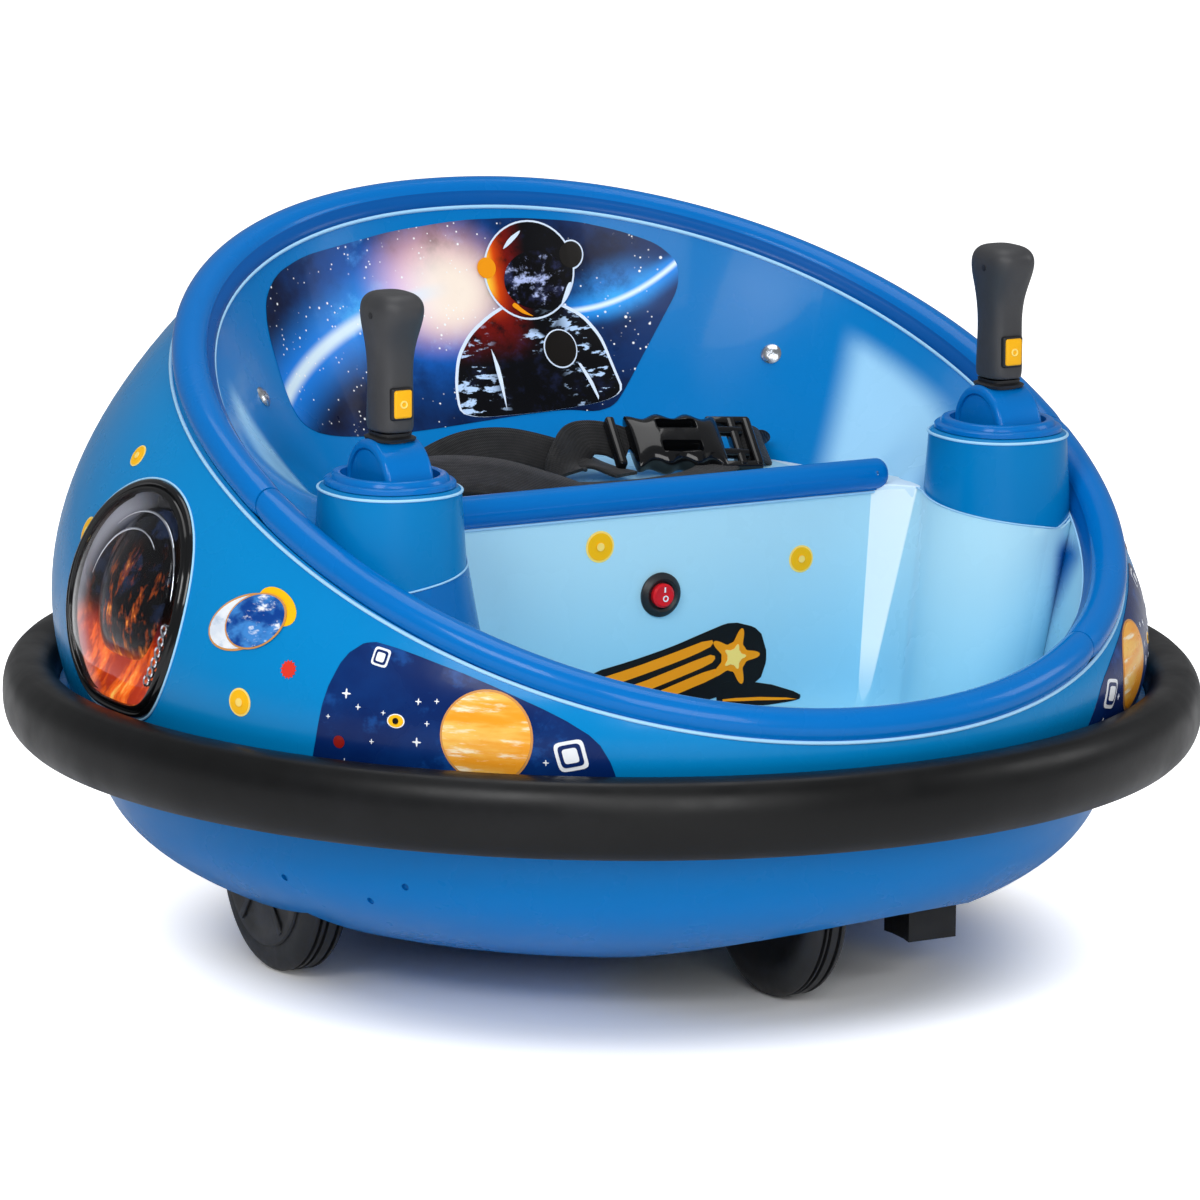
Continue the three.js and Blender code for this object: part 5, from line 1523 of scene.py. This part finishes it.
def backrest_print(skin):
    """A printed space scene on the backrest: sky, beam, planet rim and a plain space suit."""
    frame = flat_frame(vec(0, 168, 350), (1, 0.02, 0), (0, -0.80, 0.60))

    def layer(name, points, colour, lift, rings, count=120, rounds=2):
        printed(name, skin, frame, points, colour, lift, "backrest_blue", rings, count, rounds)

    sky = [(-156, -10), (-152, 10), (-138, 27), (-112, 41), (-80, 50), (-40, 59), (10, 63), (50, 60),
           (85, 52), (110, 41), (132, 27), (143, 12), (141, -4), (128, -20), (98, -56), (88, -66),
           (76, -68), (56, -63), (22, -63), (-60, -68), (-130, -73), (-145, -68), (-151, -56)]
    layer("backrest_print", sky, space_paint(), 0.4, 30, 260)
    suit = suit_paint()
    figure = [(-17, -62), (-15, -42), (-8, -22), (4, -8), (20, 2), (32, 7), (54, 9), (66, 4), (80, -6),
              (89, -22), (92, -42), (95, -62), (40, -63)]
    grow = [(x + (1.6 if x > 40 else -1.6), y + 1.6 if y > -50 else y) for x, y in figure]
    layer("suit_edge", grow, PALE_PRINT, 0.7, 14)
    layer("suit_print", figure, suit, 1.0, 14)
    centre = (51, 27)
    for name, at, r, squash, colour, lift in (
            ("helmet_edge", centre, 30.4, 1.0, PALE_PRINT, 1.2),
            ("helmet_print", centre, 29.2, 1.0, suit, 1.5),
            ("earpiece_edge", (80, 32), 8.2, 1.1, PALE_PRINT, 1.3),
            ("earpiece", (80, 32), 7.2, 1.1, INK, 1.7),
            ("lamp", (23, 32), 6.4, 1.0, ORANGE, 1.7), ("visor", (54, 21), 20.5, 0.86, VISOR, 1.8),
            ("chest_edge", (62, -24), 11, 1.15, PALE_PRINT, 1.3), ("chest", (62, -24), 10.2, 1.15, INK, 1.6)):
        spot(f"print_{name}", skin, frame, at, r, colour, lift, slot="backrest_blue", squash=squash)
    for index, (points, colour) in enumerate((
            ([(35, 41), (41, 48), (50, 52), (48, 49), (41, 44)], PALE_PRINT),
            ([(78, 16), (74, 7), (67, 1), (71, 8), (75, 15)], PALE_PRINT),
            ([(35, 7), (42, 1), (50, -2), (43, 3), (38, 9)], ORANGE),
            ([(12, -18), (15, -34), (13, -60), (15, -60), (18, -34), (15, -18)], PALE_PRINT),
            ([(70, -36), (75, -48), (77, -61), (79, -61), (77, -47), (72, -34)], PALE_PRINT))):
        layer(f"highlight_{index}", points, colour, 2.1, 3, 60, 1)


def body_prints(skin):
    """Planets, coins and a starry panel on both flanks; the right side mirrors the left."""
    for side, sign in SIDES:
        m = -sign

        def on(x, y, z):
            return skin.frame(vec(x * m, y, z))

        for index, (where, r) in enumerate((((-287, 46, 302), 7), ((-322, 70, 255), 9),
                                            ((-308, -121, 187), 8.2))):
            frame = on(*where)
            spot(f"coin_{side}_{index}", skin, frame, (0, 0), r, GOLD, rim=PALE_GOLD)
            spot(f"coin_mark_{side}_{index}", skin, frame, (0, 0), r * 0.35, PALE_GOLD, 0.95, GOLD)
        # ringed planet
        frame = on(-297, -115, 233)
        lean = 0.38 * m
        spot(f"planet_ring_gold_{side}", skin, frame, (m * 16, 10.5), 16, GOLD, 0.35, squash=0.58,
             tilt=-0.45 * m)
        spot(f"planet_ring_{side}", skin, frame, (m * -4, -1.5), 27, TAN, 0.6, squash=0.6, tilt=lean)
        spot(f"planet_ring_pale_{side}", skin, frame, (m * -4, -1.5), 25.8, RING_PALE, 0.85, squash=0.58,
             tilt=lean)
        spot(f"planet_{side}", skin, frame, (m * 4, 0), 22, PLANET_BLUE, 1.1, TAN, squash=0.74, tilt=lean)
        splash = drape(f"red_splash_{side}", skin, on(-291, -150, 210), star_radius(5.6, 4.6, 14),
                       REDPRINT, 0.35, 4, 112)
        place(splash, "car", "body_blue")
        # starry panel
        frame = on(-236, -226, 192)
        corners = [(-82, -44), (-75, -26), (-68, 9), (-58, 31), (-44, 41), (-22, 37), (25, 24), (72, 7),
                   (94, -5), (103, -20), (106, -44), (60, -44), (0, -44)]
        outline = polygon_radius(softened([(x * m, y) for x, y in corners], 1))
        place(drape(f"star_panel_{side}", skin, frame, outline, PANEL_NAVY, 0.35, 22, 220), "car",
              "body_blue")

        def at(x, y):
            return (x * m, y)
        spot(f"big_planet_{side}", skin, frame, at(32, -8), 27, PLANET_ORANGE, 0.65, TAN)
        spot(f"ring_coin_{side}", skin, frame, at(-22, -3), 5.4, GOLD, 0.65, WHITE, squash=0.75)
        spot(f"ring_coin_eye_{side}", skin, frame, at(-22, -3), 1.8, INK, 1.4)
        spot(f"red_moon_{side}", skin, frame, at(-58, -18), 3.6, DARKRED, 0.65)
        for index, (x, y, r) in enumerate(((-54, 10, 3), (-46, 3, 1.8), (-30, 1, 1.4), (-9, -14, 2.8),
                                           (-3, -3, 1.6), (-9, 9, 2), (-55, -29, 1.8), (-65, -4, 1.4),
                                           (2, 10, 1.6), (-37, -16, 1.6), (66, -20, 1.8),
                                           (84, -30, 1.6))):
            star = drape(f"star_{side}_{index}", skin, frame, star_radius(r, r * 0.35, 4), WHITE, 0.65, 2,
                         32, at(x, y))
            place(star, "car", "body_blue")
        for index, (x, y, size, spin) in enumerate(((-35, 32, 5.2, 0.2), (80, -15, 8.5, -0.25))):
            for layer, (half, colour) in enumerate(((1, WHITE), (0.76, NAVY), (0.5, WHITE))):
                def square(t, half=half * size, spin=spin):
                    c, s = abs(math.cos(t + spin * m)), abs(math.sin(t + spin * m))
                    return half / (c**6 + s**6) ** (1 / 6)
                badge = drape(f"badge_{side}_{index}_{layer}", skin, frame, square, colour,
                              0.65 + 0.3 * layer, 3, 48, at(x, y))
                place(badge, "car", "body_blue")


def seat_prints(skin):
    """Coins and a comet on the seat's front."""
    face = flat_frame(vec(0, SEAT_FRONT_Y, 200), (1, 0, 0), (0, -1, 0))
    for index, (x, z, r) in enumerate(((-41.7, 245.7, 9.6), (98.5, 226.1, 8.4))):
        spot(f"seat_coin_{index}", skin, face, (x, z - 200), r, GOLD, rim=PALE_GOLD, slot="liner_pale")
        spot(f"seat_coin_mark_{index}", skin, face, (x, z - 200), r * 0.3, PALE_GOLD, 1.0, GOLD,
             slot="liner_pale")

    # comet: a black-edged star with three tails over a dark streak
    def layer(name, points, colour, lift, rounds=1):
        printed(name, skin, face, points, colour, lift, "liner_pale", 6, 140, rounds)

    layer("comet_edge", [(-50, -46), (-50, -31), (-20, -26), (8, -20), (32, -13), (50, -8), (70, -14),
                         (76, -32), (70, -48), (40, -54), (6, -59), (-22, -62), (-40, -62)], INK, 0.35)
    layer("comet_base", [(40, -44), (74, -48), (99, -57), (99, -61), (70, -62), (40, -60)], INK, 0.4)
    for index, points in enumerate((
            [(-46, -42), (-46, -35), (-18, -30), (12, -23), (36, -17), (38, -22), (14, -29), (-16, -36)],
            [(-43, -51), (-43, -45), (-14, -40), (16, -32), (38, -26), (39, -32), (18, -38), (-12, -46)],
            [(-36, -59), (-36, -54), (-10, -49), (18, -41), (40, -35), (42, -41), (20, -47), (-8, -55)])):
        layer(f"comet_tail_{index}", points, ORANGE, 0.75)
    layer("comet_line", [(44, -55), (70, -56.5), (96, -59.5), (96, -60.6), (70, -58.5), (44, -57)], ORANGE,
          0.8, 0)
    star = (52, -30)
    for name, big, small, colour, lift in (("comet_star", 18, 9, ORANGE, 0.95),
                                           ("comet_core", 8, 5, PALE_GOLD, 1.3)):
        place(drape(name, skin, face, star_radius(big, small, 5), colour, lift, 5, 120, star), "car",
              "liner_pale")


# ---- more materials -------------------------------------------------------------------------
def webbing_paint():
    """Black polyester webbing: diagonal twill across a ribbed weave."""
    p = Paint("webbing_black", "#08080a", 0.6, Sheen_Weight=0.08, Sheen_Roughness=0.4, Specular_IOR_Level=0.3)
    uv = p.add("ShaderNodeUVMap", uv_map="strap").outputs["UV"]
    split = p.add("ShaderNodeSeparateXYZ", {"Vector": uv})
    x, y = split.outputs["X"], split.outputs["Y"]
    warp = p.math("SINE", p.times(x, TAU / 0.0016))
    weft = p.math("SINE", p.times(p.plus(y, p.times(x, 0.5)), TAU / 0.0011))
    weave = p.times(p.plus(warp, weft), 0.25)
    weave = p.plus(weave, 0.5)
    p.link(p.blend(weave, "#040405", "#131418"), "Base Color")
    p.rough(0.55, 0.75, 90)
    p.bump(weave, 0.8, 0.0004)
    return p.material


def lens_paint():
    p = Paint("lens_clear", "#f8f9fc", 0.03, Transmission_Weight=1.0, IOR=1.16, Specular_IOR_Level=0.4)
    p.rough(0.02, 0.05, 30)
    p.bump(p.noise(60, 2), 0.04, 0.0002)
    return p.material


def bowl_paint(sign):
    """A smoked reflector: near black above, flames of orange and amber light below, glowing as painted light,
    and a painted pale reflection behind.
    """
    p = moulded(f"light_bowl_{sign}", "#0b0a0c", 0.2, coat=0.08, level=0.15)
    x, y, _ = p.axes()
    back = p.times(y, float(sign))
    stretch = p.add("ShaderNodeMapping", {"Vector": p.coords})
    stretch.inputs["Scale"].default_value = (22, 60, 22)
    streaks = p.noise(1.0, 6, 0.7, stretch.outputs["Vector"])
    patches = p.noise(55, 5, 0.6)
    colour = p.blend(p.ramp(patches, 0.5, 0.62), "#08080b", "#1b2740")
    colour = p.blend(p.times(p.ramp(streaks, 0.52, 0.6), p.ramp(x, -0.035, 0.0)), colour, "#6b2a0c")
    low = p.ramp(x, -0.002, 0.022)
    colour = p.blend(low, colour, "#a62a06")
    # the palest flame layer is a painted highlight
    for start, end, flame in ((0.42, 0.56, "#f36a10"), (0.54, 0.64, "#ffc45a"), (0.62, 0.70, "#fff3dc")):
        colour = p.blend(p.times(low, p.ramp(streaks, start, end)), colour, flame)
    # painted reflection: a pale band along the rear edge and the foot
    radius = p.math("SQRT", p.plus(p.times(x, x), p.times(y, y)))
    rear_reflection = p.times(p.ramp(radius, 0.055, 0.063), p.ramp(back, 0.0, 0.04))
    # painted light: the lower bowl glows in its flame colours, brightening it inside its shaded housing
    p.link(p.blend(low, "#000000", colour), "Emission Color")
    p.shader.inputs["Emission Strength"].default_value = 0.8
    colour = p.blend(p.times(rear_reflection, 0.85), colour, "#c9cbd6")
    p.vary(colour, 0.1, 40)
    return p.material


def smoke_paint():
    """The inner dome: smoked glass with painted glints of highlight and reflection, and a warm tip; it glows
    in its colours as painted light.
    """
    p = moulded("light_smoke", "#0a0a0d", 0.1, coat=0.1, level=0.15)
    x, _, _ = p.axes()
    stretch = p.add("ShaderNodeMapping", {"Vector": p.coords})
    stretch.inputs["Scale"].default_value = (30, 85, 30)
    glints = p.noise(1.0, 6, 0.75, stretch.outputs["Vector"])
    clouds = p.noise(48, 5, 0.6)
    colour = p.blend(p.ramp(clouds, 0.48, 0.66), "#060608", "#18233a")
    # painted highlights and reflections: orange and pale blue glints
    colour = p.blend(p.times(p.ramp(glints, 0.50, 0.58), p.ramp(x, -0.045, -0.005)), colour, "#8a3a10")
    colour = p.blend(p.times(p.ramp(glints, 0.58, 0.64), p.ramp(x, -0.045, 0.0)), colour, "#f59a34")
    colour = p.blend(p.times(p.ramp(glints, 0.65, 0.69), p.ramp(x, -0.05, -0.03)), colour, "#dbe9ff")
    colour = p.blend(p.ramp(x, 0.018, 0.036), colour, "#c8430c")
    colour = p.blend(p.times(p.ramp(x, 0.014, 0.034), p.ramp(glints, 0.46, 0.62)), colour, "#ffa63c")
    # painted light: the whole dome glows in its colours, brightening it inside the shaded bowl
    p.link(colour, "Emission Color")
    p.shader.inputs["Emission Strength"].default_value = 0.6
    p.vary(colour, 0.1, 40)
    return p.material


WEBBING = webbing_paint()
LENS = lens_paint()
SMOKE = smoke_paint()
CHROME = metal("reflector_chrome", "#e8ecf2", 0.1).material
TYRE = matte("wheel_black", "#141517", 0.5, 900, 0.00012).material
CAP = matte("wheel_cap_black", "#18191b", 0.42, 1500).material
VISOR = planet_paint("print_visor", "#050509", "#2a2f52", "#b8c4f0", (60, 60), (0.5, 0.7))
PALE_PRINT = moulded("print_ice", "#dcebff", 0.3, cloud=0.2).material
RING_PALE = planet_paint("print_ring", "#d5deea", "#eef2f7", "#b8c9dc", (30, 40))
PLANET_BLUE = planet_paint("print_blue_planet", "#0d3f8f", "#3f86cf", "#f4f8ff", (38, 60), (0.42, 0.6))
PLANET_ORANGE = planet_paint("print_orange_planet", "#f3a029", "#f9c560", "#fff1d0", (14, 70))
PANEL_NAVY = planet_paint("print_panel", "#05245f", "#07306f", "#12468c", (20, 20), (0.4, 0.7))


# ---- assembly -------------------------------------------------------------------------------
def finish_nodes():
    """Materials for the CAD nodes that are shown as they are."""
    looks = {"battery_block": matte("battery_grey", "#30333a", 0.45).material,
             "underside_bracket": BLACK_MATT}
    for side, _ in SIDES:
        looks[f"gearbox_{side}"] = BLACK_MATT
        looks[f"axle_{side}"] = STEEL
    for end in ("front", "rear"):
        looks[f"caster_cup_{end}"] = BLACK_MATT
        looks[f"caster_fork_{end}"] = STEEL
    for name, material in looks.items():
        node = frame["nodes"][name]
        node.data.materials.clear()
        node.data.materials.append(material)


bumper_ring()
lower_hull()
body_skin = body_shell()
rim()
back_skin = liner()
seat_skin = footwell()
seat()
bolster()
ledges()
for side, sign in SIDES:
    console(side, sign)
    light(side, sign, body_skin)
    angle = math.radians(SCREW_DEGREES) if sign > 0 else math.pi - math.radians(SCREW_DEGREES)
    here = liner_skin(angle, SCREW_SHARE, 0.3)
    out = liner_skin(angle, SCREW_SHARE, 10) - here
    screw(f"backrest_screw_{side}", here, out, (f"screw_cap_{side}",))
switch()
wheels()
harness()
backrest_print(back_skin)
body_prints(body_skin)
seat_prints(seat_skin)
finish_nodes()
